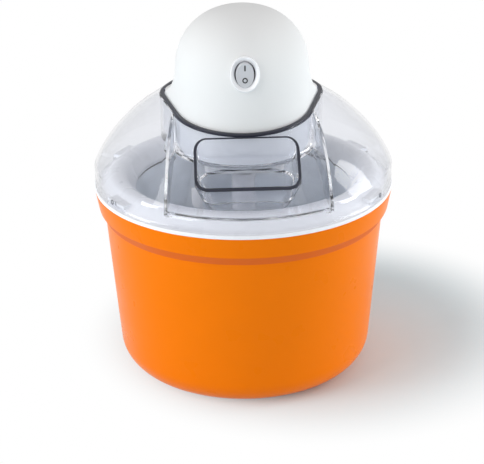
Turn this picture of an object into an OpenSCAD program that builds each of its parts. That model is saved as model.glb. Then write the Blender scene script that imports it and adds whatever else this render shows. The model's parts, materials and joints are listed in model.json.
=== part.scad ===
// Ice cream maker: a bucket that holds a freezer bowl, a clear lid with a feed chute,
// and a motor head that turns a paddle in the bowl.
// +Z is up and -Y is the front. The origin is the middle of the base, on the standing surface.

/* [Bucket] */
// Height of the bucket's rim above the standing surface
bucket_h = 136; // [115:1:165]
// Outer radius of the rim
rim_r = 105; // [98:0.5:128]
// Radius that the tapered wall reaches at the base
base_r = 88.5; // [82:0.5:108]
// Height of the thicker collar below the rim
collar_h = 14; // [8:1:24]
// How far the wall steps in below the collar
collar_step = 4.4; // [2:0.2:7]
// Taper of the collar, top to bottom
collar_draft = 2.4; // [0:0.2:4]
// Wall of the bucket
bucket_t = 2.4; // [1.8:0.1:4]
// Radius of the rounded bottom edge
base_fillet = 21; // [6:1:24]
// Radius of one rubber foot
foot_r = 8; // [5:0.5:12]
// Height of the feet below the bucket
foot_h = 1.2; // [0.8:0.1:4]

/* [Freezer bowl] */
// Inner radius of the bowl at its seam with the rim ring
bowl_r = 76.5; // [68:0.5:84]
// Inner radius of the bowl just above its rounded floor
bowl_floor_r = 68; // [60:0.5:74]
// Height of the bowl's inner floor
bowl_floor_z = 26; // [22:1:40]
// Radius between the bowl's wall and floor
bowl_fillet = 16; // [8:1:22]
// Thickness of the aluminium liner
liner_t = 1.2; // [0.8:0.1:2]
// Thickness of the bowl's plastic outer wall
shell_t = 2.2; // [1.6:0.1:3]
// Air gap between the bowl and the bucket
bucket_gap = 3; // [1.5:0.5:6]
// Height of the rim ring's crest above the bucket's rim
crest_h = 11.6; // [8:0.2:16]
// Thickness of the rim ring's flange
flange_t = 2.6; // [1.8:0.1:4]

/* [Lid] */
// Wall of the clear lid
lid_t = 2; // [1.6:0.1:3]
// Height of the lid's upright skirt above the bucket's rim, at the sides
skirt_h = 17; // [14:0.5:24]
// Radius of the dome's arc
dome_arc = 100; // [80:1:140]
// Height of the well's front edge above the bucket's rim
well_top = 53.4; // [48:0.2:60]
// Height of the well's floor above the bucket's rim
well_floor = 30.5; // [26:0.5:34]
// Angle at which the well's cheeks lean out
cheek_a = 17; // [10:1:24]
// Slope of the well's edge, rising to the back
edge_a = 6.6; // [2:0.2:10]
// Wall of the well that holds the motor head
well_t = 3; // [2:0.1:4]
// Half width of the front recess at the lid's skirt
recess_x = 53.5; // [50:0.5:66]
// Half width of the feed chute's mouth
chute_x = 35.5; // [28:0.5:42]
// Corner radius of the chute
chute_corner = 8.5; // [4:0.5:10]
// How much each wall of the chute draws in from mouth to throat
chute_draw = 9; // [4:0.5:12]
// Arc of one bayonet lug
lug_a = 12; // [8:1:16]
// Turn that unlocks the lid
twist_a = 14; // [12:1:18]

/* [Motor head] */
// Radius of the domed motor head
head_r = 46.4; // [46:0.2:58]
// Radius of the head's wide back
tail_r = 58.8; // [58:0.2:70]
// Height of the head's straight wall above the well's floor
head_wall = 52.5; // [48:0.5:64]
// Height of the dome above the straight wall
head_dome = 45; // [40:0.5:56]
// Wall of the head's shell
head_t = 2.2; // [1.8:0.1:3]
// Gap between the head and its well
head_gap = 0.6; // [0.3:0.1:1.5]
// Half width of the rectangular drive boss
boss_x = 28; // [24:0.5:32]
// Half depth of the drive boss
boss_y = 20; // [18:0.5:24]
// Height of the drive boss
boss_h = 17.5; // [14:0.5:22]

/* [Switch] */
// Height of the rocker switch above the well's floor
switch_rise = 63.5; // [58:0.5:66]
// Half width of the bezel
bezel_x = 10; // [9:0.2:12]
// Half height of the bezel
bezel_z = 12.2; // [12:0.2:14]
// Angle that the rocker turns through
rocker_a = 16; // [8:1:20]

/* [Drive] */
// Tooth size of the fast stage
fast_m = 0.7; // [0.6:0.05:0.8]
// Tooth size of the two slow stages
slow_m = 0.8; // [0.7:0.05:0.85]
// Teeth of each pinion
pinion_z = 10; // [9:1:12]
// Teeth of each wheel
wheel_z = 40; // [36:4:44]
// Radius of the drive shaft
shaft_r = 4; // [3:0.1:5]
// Radius of the motor's can
motor_r = 18; // [14:0.5:19]
// Length of the motor's can
motor_l = 47; // [36:1:50]
// Radius of the paddle's stem
stem_r = 8.2; // [7:0.1:11]
// Gap between the paddle and the bowl's wall
scrape_gap = 2.5; // [1:0.5:6]

/* [Hidden] */
$fn = 96;
eps = 0.01;

// clearances
seat_gap = 0.3;       // between faces of different bodies that rest or slide near each other
run_gap = 0.05;       // radial gap of a shaft in its bush or a wheel on its axle
fill_gap = 0.15;      // between the sealed coolant and the walls that hold it

// bucket
rim_z = bucket_h;
step_z = rim_z - collar_h;
step_r = rim_r - collar_draft;
body_r = step_r - collar_step;
body_z = step_z - 1.6 * collar_step;
collar_extra = 1.2;    // how much thicker the collar's wall is
foot_ring = base_r - base_fillet - foot_r - 4;
foot_pin_r = 3;
barb_h = 2;
floor_top = foot_h + bucket_t + 0.6;
function bucket_wall_r(z) = base_r + (body_r - base_r) * z / body_z;

// freezer bowl
ring_crest = rim_z + crest_h;
crest_r = bowl_r + 12;
ring_t = 2.2;
crest_round = 4.6;
gutter_r = rim_r - 4.6;
hollow_r = crest_r - 3;
lip_w = 5;
lip_play = 0.2;
liner_top = rim_z - 3;
liner_seal_t = 1;
cup_top = rim_z - 6;
cup_r = bucket_wall_r(body_z) - bucket_t - bucket_gap;
cup_base_z = floor_top + 6;
cup_base_r = bucket_wall_r(cup_base_z) - bucket_t - bucket_gap - 1.5;
cup_chamfer = 6;
cup_slope = (cup_r - cup_base_r) / (cup_top - cup_base_z - cup_chamfer);
channel_h = 6;         // depth to which the ring overlaps the cup's edge
plug_r = 7;
plug_head = 2;         // how far the plug's head reaches past its hole
plug_head_t = 1.2;
wall_seal_t = 0.8;
function bowl_wall_r(z) =
    bowl_floor_r + (bowl_r - bowl_floor_r) * (z - bowl_floor_z) / (rim_z - bowl_floor_z);

// lid
skirt_r = rim_r - 0.5;
skirt_z = rim_z + flange_t + seat_gap;
dome_z = rim_z + skirt_h;
dome_n = 23.6;
dome_end = 66;
dome_cx = skirt_r - dome_arc * cos(dome_n);
dome_cz = dome_z - dome_arc * sin(dome_n);
well_z = rim_z + well_floor;
well_in = head_r + head_gap;
well_out = well_in + well_t;
tail_in = tail_r + head_gap;
tail_out = tail_in + well_t;
edge_z = rim_z + well_top;
sill_z = ring_crest + seat_gap + lid_t;
sill_r = crest_r - 1.5;
corner_x = well_out * cos(cheek_a);
corner_y = -well_out * sin(cheek_a);
hole_gap = 1;

// chute
chute_back = -(well_out + 0.6);
chute_front = -(bowl_r + 7.5);
chute_z = sill_z + 13.5;
throat_z = rim_z + 5.5;
chute_back_z = edge_z - 1.6;
recess_turn_x = 6;     // run of the recess floor's curve down to its sill
recess_turn_z = 2;

// bayonet
lug_at = [30, 150, 210, 330]; // where the lugs and their catches lie round the rim
lug_t = 2;
lug_z = skirt_z + 0.3;
lug_in = rim_r - 4.5;
catch_z = lug_z + lug_t + 0.4;
catch_r = skirt_r - lid_t - 0.6;

// motor head
head_z = well_z;
base_t = 4;
shell_z = head_z + base_t;
dome_base = head_z + head_wall;
dome_round = 2.2;      // exponent of the dome's superellipse
flare_z = rim_z + 63;
flare_h = 25;
boss_z = head_z - boss_h;
boss_t = 2.2;
post_r = 4.4;
// two posts in front and two at the back take the shell's screws
posts = [for (s = [-1, 1]) each [(head_r - head_t - 3.4) * [s * sin(39.5), -cos(39.5)],
    (tail_r - head_t - 3.8) * [s * sin(33.4), cos(33.4)]]];
post_top = shell_z + 18;
screw_r = 1.5;
screw_head_r = 2.8;
screw_head_h = 1.8;
screw_play = 0.2;
shell_hole = 13;       // depth of the screw holes in the shell's posts
sink_h = 2.2;          // depth of the sinks for the screws' heads

// gear train: each wheel's level and its axis in plan
wheel_t = 5;
out_t = 7;
level_out = shell_z + 1.5;
level_slow = level_out + out_t + 1;
level_fast = level_slow + wheel_t + 1;
fast_t = 4;
plate_z = level_fast + fast_t + 4;
plate_t = 2.5;
motor_z = plate_z + plate_t;
fast_c = fast_m * (pinion_z + wheel_z) / 2;
slow_c = slow_m * (pinion_z + wheel_z) / 2;
motor_xy = [0, 14];
second_xy = slow_c * [cos(-30), sin(-30)];
// the first wheel's axis is where two circles cross: fast_c about the motor, slow_c about the second wheel
link = second_xy - motor_xy;
link_l = norm(link);
link_a = (fast_c * fast_c - slow_c * slow_c + link_l * link_l) / (2 * link_l);
link_h = sqrt(fast_c * fast_c - link_a * link_a);
first_xy = motor_xy + link * link_a / link_l + [-link[1], link[0]] * link_h / link_l;
axles_xy = [first_xy, second_xy];
axle_r = 1.5;
pillars = [[-30, 8], [0, -(head_r - head_t - 8)], [26, 31]];
pillar_r = 4;
pillar_hole = 10;
hub_r = 3;
hub_gap = 0.2;         // between a gear's hub and the boss over it
plate_boss_h = 1.2;    // bosses under the plate that locate the axles
axle_z = head_z + 1.5;
spigot_r = 6.2;        // nose of the motor, centred in the plate
motor_screw_x = 9;
motor_shaft_r = 1.6;
armature_r = motor_r - 6.5;
magnet_t = 3.6;
magnet_l = 28;
magnet_a = 140;
magnet_z = motor_z + 8;
armature_l = 26;
commutator_z = motor_z + 36;
commutator_r = 4.5;
can_t = 1.2;
can_floor = can_t + 1.3;
magnet_r = motor_r - can_t - 0.1;
cap_t = 4.5;
tab_x = 12;
bush_r = 7;
bush_z = boss_z + 3.2;
seal_r = 8.6;
seal_t = 2.2;
tube_r = 10.6;
washer_r = 7.6;
washer_t = 1.2;
tang_x = 4.4;
tang_y = 1.8;
tang_l = 19;
tang_z = boss_z - 2.5;
tang_gap = 0.4;

// paddle
stem_top = boss_z - 4.5;
stem_flange_r = stem_r + 1.3;
stem_foot_z = bowl_floor_z + 0.4;
socket_z = tang_z - tang_l - 1;
socket_top_l = 34;     // length of the stem's thicker top
blade_t = 3;
blade_z = stem_foot_z + 0.6;
foot_bar = 12;         // height of the blade's foot bar at the stem
post_w = 9;
post_z = rim_z - 42;   // top of the scraper posts
rib_z = blade_z + 35;
rib_w = 10;
upright_x = 29;        // inner face of the uprights
upright_w = 8;
tall_z = rim_z - 5;
short_z = rim_z - 34;

// switch: it leans back with the dome, and its own frame has the shell's surface at y = 0
switch_z = head_z + switch_rise;
function dome_r(z) = head_r * pow(1 - pow(max(0, z - dome_base) / head_dome, dome_round), 1 / dome_round);
switch_a = atan((dome_r(switch_z - 1) - dome_r(switch_z + 1)) / 2);
flange_y = -0.1;
face_y = -1.9;
bezel_step = 0.9;      // the part in the shell's hole stands in from the rim by this
dish_w = 1.4;
dish_depth = 0.9;
switch_front = 1.9;
pivot_y = 3.9;
case_y = 5.6;
switch_back = switch_front + 18;
rocker_x = bezel_x - 3.4;
rocker_z = bezel_z - 2.5;
rocker_sweep = rocker_z + 0.5;
opening_x = rocker_x + 0.4;
opening_z = rocker_sweep + 0.3;
trunnion_r = 1.3;
case_x = bezel_x - 1.4;
case_z = bezel_z - 1;
rocker_pocket = 7;
valley_r = 28;         // curve of the rocker's dished face
valley_y = 4.2;        // its lowest point, ahead of the pivot
terminal_w = 6.2;
terminal_l = 7;
terminal_t = 0.8;
terminal_pitch = 6;

// board and cord
board_y = motor_xy[1] + motor_r + 4;
board_t = 1.6;
board_x = 17;
board_h = 25;
rail_h = 4;
rail_t = 1.5;
rail_play = 0.2;
parts_z = motor_z + rail_h + 0.2;
gland_z = flare_z + 17;
gland_bore = 3.6;
gland_r = 6;
gland_in = head_r - 6;
gland_l = 11.4;
gland_flange = 1.6;
gland_flange_t = 2;

// ---------- shared shapes ----------

// puts its children at each of a list of points in plan, at height z
module at(points, z) {
    for (p = points) translate([p[0], p[1], z]) children();
}

// ring between two radii
module tube(r1, r2, h) {
    difference() {
        cylinder(r = r2, h = h);
        translate([0, 0, -1]) cylinder(r = r1, h = h + 2);
    }
}

function ellipse(a, b, n = 48) = [for (i = [0:n - 1]) [a * cos(i * 360 / n), b * sin(i * 360 / n)]];

// straight-flanked gear outline, with a tooth on +X
function gear_points(z, m, play = 0.1) = [for (i = [0:z - 1], k = [0:3])
    let (root = m * (z / 2 - 1.2), tip = m * (z / 2 + 0.9),
        wide = (m * 1.05 - play) / root, slim = (m * 0.42 - play / 2) / tip,
        r = (k == 0 || k == 3) ? root : tip,
        a = (k == 0 ? -wide : k == 1 ? -slim : k == 2 ? slim : wide) * 180 / PI + i * 360 / z)
    r * [cos(a), sin(a)]];

// gear whose tooth (or gap, with phase 0.5) faces the point p
module gear(z, m, h, face, phase = 0) {
    rotate(atan2(face[1], face[0]) + phase * 360 / z) linear_extrude(h) polygon(gear_points(z, m));
}

// plan of the head and of its well: round in front, cheeks that lean out, round back
module well_plan(c, back) {
    y = back + 1;
    x = (c + y * sin(cheek_a)) / cos(cheek_a);
    touch = c * [cos(cheek_a), -sin(cheek_a)];
    circle(c);
    intersection() {
        circle(back);
        polygon([touch, [x, y], [-x, y], [-touch[0], touch[1]]]);
    }
}

// outline of a rounded rectangle, 2x wide, from y1 to y2
function slot_points(x, y1, y2, r, n = 6) = [for (k = [0:3], i = [0:n])
    let (a = k * 90 + i * 90 / n, cx = (k == 0 || k == 3) ? x - r : r - x, cy = k < 2 ? y2 - r : y1 + r)
    [cx + r * cos(a), cy + r * sin(a)]];

// pan-head screw pointing up, its head's seat at z = 0
module screw(l, r = screw_r, head = screw_head_r) {
    translate([0, 0, -screw_head_h]) cylinder(r = head, h = screw_head_h, $fn = 32);
    translate([0, 0, -eps]) cylinder(r = r, h = l, $fn = 32);
}

// ---------- bucket ----------

module outer_bucket() color("#F48A1C") difference() {
    rotate_extrude() polygon(concat(
        [[0, foot_h], [base_r - base_fillet, foot_h]],
        [for (a = [-75:15:0]) [bucket_wall_r(base_fillet) - base_fillet + base_fillet * cos(a),
            foot_h + base_fillet + base_fillet * sin(a)]],
        [[body_r, body_z], [body_r + 0.25 * collar_step, body_z + 0.8 * collar_step],
            [step_r - 0.3, step_z - 0.3], [step_r, step_z + 1], [rim_r, rim_z], [0, rim_z]]));
    rotate_extrude() polygon(concat(
        [[0, floor_top], [base_r - base_fillet, floor_top]],
        [for (a = [-60:20:0]) [bucket_wall_r(base_fillet) - base_fillet + (base_fillet - bucket_t) * cos(a),
            floor_top + (base_fillet - bucket_t) * (1 + sin(a))]],
        [[body_r - bucket_t, body_z], [step_r - bucket_t - collar_extra - 0.2, step_z],
            [rim_r - bucket_t - collar_extra, rim_z], [rim_r - bucket_t - collar_extra, rim_z + 1],
            [0, rim_z + 1]]));
    for (a = [45:90:315]) rotate(a) translate([foot_ring, 0, -1]) cylinder(r = foot_pin_r, h = floor_top + 2);
}

// four push-in feet
module rubber_feet() color("#2E2E30") for (a = [45:90:315]) rotate(a) translate([foot_ring, 0, 0]) {
    cylinder(r = foot_r, h = foot_h);
    cylinder(r = foot_pin_r, h = floor_top);
    translate([0, 0, floor_top]) cylinder(r1 = foot_pin_r + 1, r2 = foot_pin_r - 0.4, h = barb_h);
}

// ---------- freezer bowl ----------

module bowl_inside(out, top) {
    rf = bowl_fillet + out;
    rc = bowl_wall_r(bowl_floor_z + bowl_fillet) - bowl_fillet;
    rotate_extrude() polygon(concat(
        [[0, bowl_floor_z - out]],
        [for (a = [-90:15:0]) [rc + rf * cos(a), bowl_floor_z + bowl_fillet + rf * sin(a)]],
        [[bowl_wall_r(top) + out, top], [0, top]]));
}

module bowl_liner() color("#A9ADB2") difference() {
    union() {
        bowl_inside(liner_t, liner_top);
        translate([0, 0, liner_top - liner_t]) cylinder(r = bowl_wall_r(liner_top) + lip_w, h = liner_t);
    }
    bowl_inside(0, liner_top + 1);
}

module cup(inset, z0, top) {
    rotate_extrude() polygon([[0, z0], [cup_base_r - inset - cup_chamfer, z0],
        [cup_base_r - inset, z0 + cup_chamfer], [cup_r - inset, cup_top], [cup_r - inset, top], [0, top]]);
}

module bowl_outer_wall() color("#F2F2F0") difference() {
    cup(0, cup_base_z, cup_top);
    cup(shell_t, cup_base_z + shell_t, cup_top + 1);
    translate([0, 0, cup_base_z - 1]) cylinder(r = plug_r, h = shell_t + 2);
}

module bowl_coolant() color("#9CC7E6") difference() {
    cup(shell_t + fill_gap, cup_base_z + shell_t + fill_gap, cup_top - channel_h);
    bowl_inside(liner_t + fill_gap, cup_top);
    translate([0, 0, cup_base_z]) cylinder(r = plug_r + 0.4, h = shell_t + 2.4);
}

// white ring: flange on the bucket's rim, gutter for the lid, rounded crest, slope to the liner
module bowl_rim_ring() color("#F6F6F5") {
    difference() {
        rotate_extrude() difference() {
            polygon(concat(
                [[bowl_r - 0.4, rim_z - 1.5], [bowl_r, rim_z + 0.6]],
                [for (a = [150:-20:30]) [crest_r, ring_crest - crest_round] + crest_round * [cos(a), sin(a)]],
                [[gutter_r - 1, rim_z + flange_t + 1.4], [gutter_r, rim_z + flange_t],
                    [rim_r, rim_z + flange_t], [rim_r, rim_z], [cup_r + 0.2, rim_z],
                    [cup_r + 0.2, cup_top - 5], [bowl_r - 0.4, cup_top - 5]]));
            // hollow under the crest
            polygon([[bowl_r + 4, rim_z - 4], [bowl_r + 4.5, rim_z + 1.5], [hollow_r, ring_crest - 3.6],
                [crest_r, ring_crest - ring_t], [crest_r + 2.6, ring_crest - 3.6],
                [cup_r - 3, rim_z + 2.8], [cup_r - 3, rim_z - 4]]);
        }
        // channel that takes the outer wall's edge, and the step that takes the liner's lip
        translate([0, 0, cup_top - channel_h]) {
            tube(cup_r - shell_t - channel_h * cup_slope - 0.5, cup_r + 5, channel_h + wall_seal_t);
            cylinder(r = bowl_wall_r(liner_top) + lip_w + lip_play,
                h = liner_top + liner_seal_t - cup_top + channel_h);
        }
    }
    // catches that hold the lid's lugs down
    for (a = lug_at) rotate(a - lug_a / 2) rotate_extrude(angle = lug_a)
        polygon([[crest_r + 6, catch_z - 0.4], [catch_r, catch_z], [catch_r, catch_z + lug_t],
            [crest_r + 6, catch_z + lug_t]]);
}

// grey seal that shows as the seam between the liner and the ring
module liner_seal() color("#5B5F66")
    translate([0, 0, liner_top]) tube(bowl_r + 0.4, bowl_wall_r(liner_top) + lip_w, liner_seal_t);

module wall_seal() color("#5B5F66")
    translate([0, 0, cup_top]) tube(cup_r - shell_t, cup_r, wall_seal_t);

module fill_plug() color("#E4E4E2") translate([0, 0, cup_base_z]) {
    cylinder(r = plug_r - 0.05, h = shell_t + 1.6);
    translate([0, 0, -plug_head_t]) cylinder(r = plug_r + plug_head, h = plug_head_t);
}

// ---------- paddle ----------

// bow-tie socket: the flat drive tang has free play in it
module socket_plan() {
    free = twist_a + 2;
    half = tang_y + tang_gap;
    r = norm([tang_x, tang_y]) + seat_gap;
    intersection() {
        circle(r);
        union() for (s = [0, 180]) rotate(s) polygon([[-1, -half], [-1, half],
            for (e = [1, -1]) r * 1.5 * [cos(free), e * sin(free)] + e * half * [-e * sin(free), cos(free)]]);
    }
}

// one flat piece of the blade, drawn in the XZ plane on the +X side
module blade() {
    rotate([90, 0, 0]) translate([0, 0, -blade_t / 2]) linear_extrude(blade_t) children();
}

module paddle() color("#F4F5F6") difference() {
    reach = bowl_wall_r(bowl_floor_z + bowl_fillet) - bowl_fillet;
    edge_low = bowl_wall_r(bowl_floor_z + bowl_fillet + 2) - scrape_gap;
    edge_high = bowl_wall_r(post_z) - scrape_gap;
    bend_z = blade_z + bowl_fillet;
    union() {
        translate([0, 0, stem_foot_z]) cylinder(r = stem_r - 1.2, h = stem_top - stem_foot_z);
        translate([0, 0, stem_top - socket_top_l]) cylinder(r = stem_r, h = socket_top_l);
        translate([0, 0, stem_top - 3]) cylinder(r = stem_flange_r, h = 3);
        // on each side a foot bar that runs into a scraper post, and a rib
        for (s = [0, 180]) rotate(s) blade() {
            polygon([[0, blade_z], [reach, blade_z], [edge_low, bend_z], [edge_high, post_z],
                [edge_high - post_w, post_z], [edge_low - post_w - 2, bend_z + 8],
                [reach - 8, blade_z + foot_bar + 4], [0, blade_z + foot_bar]]);
            polygon([[0, rib_z], [edge_low - 6, rib_z + 16], [edge_low - 4, rib_z + 22], [0, rib_z + rib_w]]);
        }
        // a tall upright on the left and a short one on the right
        blade() translate([-upright_x - upright_w, blade_z]) square([upright_w, tall_z - blade_z]);
        blade() translate([upright_x, blade_z]) square([upright_w, short_z - blade_z]);
    }
    translate([0, 0, socket_z]) linear_extrude(tang_l + 21) socket_plan();
}

// ---------- lid ----------

// everything below the well's sloping edge, lowered by d
module below_edge(d) {
    translate([0, -well_out, edge_z - d]) rotate([edge_a, 0, 0])
        translate([-200, -200, -300]) cube([400, 500, 300]);
}

// the dome as a solid, drawn in by inset
module dome_solid(inset) {
    intersection() {
        rotate_extrude() polygon(concat(
            [[0, skirt_z - (inset > 0 ? 1 : 0)], [skirt_r - inset, skirt_z - (inset > 0 ? 1 : 0)]],
            [for (a = [dome_n:(dome_end - dome_n) / 12:dome_end + eps])
                [dome_cx + (dome_arc - inset) * cos(a), dome_cz + (dome_arc - inset) * sin(a)]],
            [[0, dome_cz + (dome_arc - inset) * sin(dome_end)]]));
        below_edge(inset);
    }
}

// plan of the front recess, grown by g
module recess_plan(g) {
    y = -rim_r - 10;
    lean = (recess_x - corner_x) / (rim_r - 20 + corner_y);
    x = corner_x + lean * (corner_y - y);
    polygon([[-corner_x - g, corner_y], [-x - g, y], [x + g, y], [corner_x + g, corner_y],
        [well_in * 0.6, -well_in * 0.5], [-well_in * 0.6, -well_in * 0.5]]);
}

// everything below the recess floor, lowered by d
module below_floor(d) {
    rotate_extrude() polygon([[0, rim_z - 40], [rim_r + 20, rim_z - 40], [rim_r + 20, sill_z - d],
        [sill_r, sill_z - d], [sill_r - recess_turn_x, sill_z + recess_turn_z - d],
        [well_out, well_z - d], [0, well_z - d]]);
}

// chute as a solid, drawn in by inset: its front and sides draw in from the mouth to the throat
module chute_solid(inset, down) {
    low = throat_z - down;
    top = edge_z + 6;
    draw = chute_draw * (chute_z - low) / (chute_z - throat_z);
    x = chute_x - inset;
    y = chute_front + inset;
    intersection() {
        translate([0, 0, low - 1]) linear_extrude(top + 1 - low)
            polygon(slot_points(x, y, chute_back - inset, chute_corner - inset / 2));
        rotate([90, 0, 0]) linear_extrude(rim_r)
            polygon([[draw - x, low], [x - draw, low], [x, chute_z], [x, top + 1], [-x, top + 1],
                [-x, chute_z]]);
        rotate([90, 0, 90]) translate([0, 0, -rim_r]) linear_extrude(2 * rim_r)
            polygon([[y + draw, low], [0, low], [0, top + 2], [y - 1, top + 2],
                [y - 1, chute_z + (chute_z - low) / draw]]);
    }
}

// everything below the chute's sloping mouth
module below_mouth() {
    a = atan2(chute_back_z - chute_z, chute_back - chute_front);
    translate([0, chute_front, chute_z]) rotate([a, 0, 0])
        translate([-100, -100, -200]) cube([200, 200, 200]);
}

// the well's outer outline as a tall prism
module well_prism() {
    translate([0, 0, skirt_z - 20]) linear_extrude(edge_z) well_plan(well_out - 0.2, tail_out - 0.2);
}

// dome and skirt, open at the recess and the well
module lid_dome() difference() {
    dome_solid(0);
    dome_solid(lid_t);
    difference() {
        linear_extrude(edge_z + 40) recess_plan(0);
        below_floor(0);
    }
    well_prism();
}

// side walls of the recess
module lid_cheeks() intersection() {
    difference() {
        linear_extrude(edge_z + 40) recess_plan(lid_t);
        translate([0, 0, -1]) linear_extrude(edge_z + 42) recess_plan(0);
        well_prism();
        below_floor(lid_t);
    }
    dome_solid(0.1);
}

// floor of the recess
module lid_floor() intersection() {
    difference() {
        below_floor(0);
        below_floor(lid_t);
        well_prism();
    }
    linear_extrude(edge_z + 40) recess_plan(lid_t - 0.1);
    dome_solid(0.1);
}

module lid_well() intersection() {
    difference() {
        translate([0, 0, well_z - lid_t]) linear_extrude(edge_z) well_plan(well_out, tail_out);
        translate([0, 0, well_z]) linear_extrude(edge_z) well_plan(well_in, tail_in);
        translate([0, 0, well_z - lid_t - 1]) linear_extrude(lid_t + 2)
            square([2 * (boss_x + hole_gap), 2 * (boss_y + hole_gap)], center = true);
    }
    below_edge(0);
}

module lid_lugs() for (a = lug_at) rotate(a - lug_a / 2) rotate_extrude(angle = lug_a)
    polygon([[lug_in, lug_z], [skirt_r - lid_t / 2, lug_z], [skirt_r - lid_t / 2, lug_z + lug_t],
        [lug_in, lug_z + lug_t]]);

module lid() color([0.86, 0.88, 0.93, 0.45]) {
    difference() {
        union() {
            lid_dome();
            lid_cheeks();
            lid_floor();
            lid_well();
        }
        chute_solid(lid_t / 2, 1);
    }
    difference() {
        intersection() {
            chute_solid(0, 0);
            below_mouth();
        }
        chute_solid(lid_t, 2);
    }
    lid_lugs();
}

// ---------- motor head ----------

// domed body with its wide back, drawn in by inset
module head_solid(inset, z0) {
    r = head_r - inset;
    rotate_extrude() polygon(concat([[0, z0], [r, z0]], [for (a = [0:5:90])
        [r * pow(cos(a), 2 / dome_round), dome_base + (head_dome - inset) * pow(sin(a), 2 / dome_round)]]));
    intersection() {
        rotate_extrude() polygon(concat([[0, z0], [tail_r - inset, z0]],
            [for (a = [90:-10:0]) [tail_r - inset - (tail_r - head_r) * cos(a),
                flare_z + flare_h - inset / 2 - flare_h * sin(a)]],
            [[0, flare_z + flare_h - inset / 2]]));
        translate([0, 0, z0 - 1]) linear_extrude(200) well_plan(r, tail_r - inset);
    }
}

module head_shell() color("#F5F5F6") difference() {
    union() {
        difference() {
            head_solid(0, shell_z);
            head_solid(head_t, shell_z - 1);
        }
        intersection() {
            at(posts, shell_z)
                cylinder(r = post_r, h = post_top - shell_z);
            head_solid(head_t / 2, shell_z - 1);
        }
    }
    at(posts, shell_z - 1)
        cylinder(r = screw_r, h = shell_hole);
    on_face() oval(bezel_x - bezel_step + 0.1, bezel_z - bezel_step + 0.1, -20, 12);
    translate([0, 20, gland_z]) rotate([-90, 0, 0]) cylinder(r = gland_r, h = 60);
}

module head_base() color("#F1F1F2") difference() {
    union() {
        translate([0, 0, head_z]) linear_extrude(base_t) well_plan(head_r, tail_r);
        difference() {
            translate([-boss_x, -boss_y, boss_z]) cube([2 * boss_x, 2 * boss_y, boss_h + 1]);
            translate([-boss_x + boss_t, -boss_y + boss_t, boss_z + boss_t])
                cube([2 * (boss_x - boss_t), 2 * (boss_y - boss_t), boss_h - boss_t]);
        }
        translate([0, 0, boss_z]) cylinder(r = tube_r, h = boss_h + 1);
        at(pillars, shell_z - 1) cylinder(r = pillar_r, h = plate_z - shell_z + 1);
    }
    translate([0, 0, boss_z - 1]) cylinder(r = seal_r, h = seal_t + 1.2);
    translate([0, 0, boss_z]) cylinder(r = bush_r, h = boss_h + base_t + 1);
    at(posts, head_z) {
        translate([0, 0, -1]) cylinder(r = screw_r + screw_play, h = base_t + 2);
        translate([0, 0, -1]) cylinder(r = screw_head_r + screw_play, h = sink_h + 1);
    }
    at(pillars, plate_z - pillar_hole) cylinder(r = screw_r, h = pillar_hole + 1);
    at(axles_xy, axle_z) cylinder(r = axle_r, h = base_t);
}

// plate over the gears that carries the motor and the board
module gear_plate() color("#D9DADC") difference() {
    union() {
        translate([0, 0, plate_z]) cylinder(r = head_r - head_t - 0.8, h = plate_t);
        // rails that hold the board's edge
        for (y = [board_y - rail_play - rail_t, board_y + board_t + rail_play])
            translate([-board_x + 2, y, motor_z - eps]) cube([2 * board_x - 4, rail_t, rail_h]);
        at(axles_xy, plate_z - plate_boss_h)
            cylinder(r = hub_r, h = plate_boss_h + 0.8);
    }
    at([motor_xy], plate_z - 1) cylinder(r = spigot_r + 0.1, h = plate_t + 2);
    for (s = [-1, 1]) translate([motor_xy[0] + s * motor_screw_x, motor_xy[1], plate_z - 1])
        cylinder(r = screw_r + screw_play, h = plate_t + 2);
    at(pillars, plate_z - 1)
        cylinder(r = screw_r + screw_play, h = plate_t + 2);
    at(axles_xy, plate_z - 3) cylinder(r = axle_r, h = plate_t + 2);
}

module motor_can() color("#B9BCC0") at([motor_xy], motor_z) difference() {
    union() {
        cylinder(r = motor_r, h = motor_l);
        translate([0, 0, -plate_t]) cylinder(r = spigot_r, h = plate_t + eps);
    }
    translate([0, 0, can_floor]) cylinder(r = motor_r - can_t, h = motor_l);
    translate([0, 0, -plate_t - 1]) cylinder(r = motor_shaft_r + run_gap, h = plate_t + can_floor + 2);
    for (s = [-1, 1]) translate([s * motor_screw_x, 0, -1]) cylinder(r = screw_r, h = can_floor + 2);
}

module motor_magnets() color("#4A4B50") at([motor_xy], magnet_z)
    for (a = [20, 200]) rotate(a) rotate_extrude(angle = magnet_a)
        translate([magnet_r - magnet_t, 0]) square([magnet_t, magnet_l]);

module motor_end_cap() color("#2B2C30") at([motor_xy], motor_z + motor_l) difference() {
    union() {
        cylinder(r = motor_r - 0.4, h = cap_t);
        translate([0, 0, -2.5]) tube(motor_r - can_t - 2, motor_r - can_t - 0.1, 2.5);
        // solder tabs
        for (s = [-1, 1]) translate([s * tab_x - 1.6, -0.4, cap_t - eps]) cube([3.2, 0.8, 5]);
    }
    translate([0, 0, -1]) cylinder(r = motor_shaft_r + run_gap, h = cap_t);
}

module motor_screws() color("#C9CBCE") for (s = [-1, 1])
    translate([motor_xy[0] + s * motor_screw_x, motor_xy[1], plate_z]) screw(plate_t + can_t + 1);

module plate_screws() color("#C9CBCE") at(pillars, motor_z) rotate([180, 0, 0]) screw(9);

module shell_screws() color("#C9CBCE") at(posts, head_z + sink_h) screw(13);

module gear_axles() color("#C4C6C9") at(axles_xy, axle_z) cylinder(r = axle_r, h = plate_z + 1 - axle_z);

module drive_bush() color("#B58A4E") translate([0, 0, bush_z])
    tube(shaft_r + run_gap, bush_r, shell_z - bush_z);

module thrust_washer() color("#C4C6C9") translate([0, 0, shell_z])
    tube(shaft_r + 0.3, washer_r, washer_t);

module drive_seal() color("#2E2E30") translate([0, 0, boss_z + 0.2])
    tube(shaft_r + 0.3, seal_r, seal_t);

// ---------- switch ----------

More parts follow.
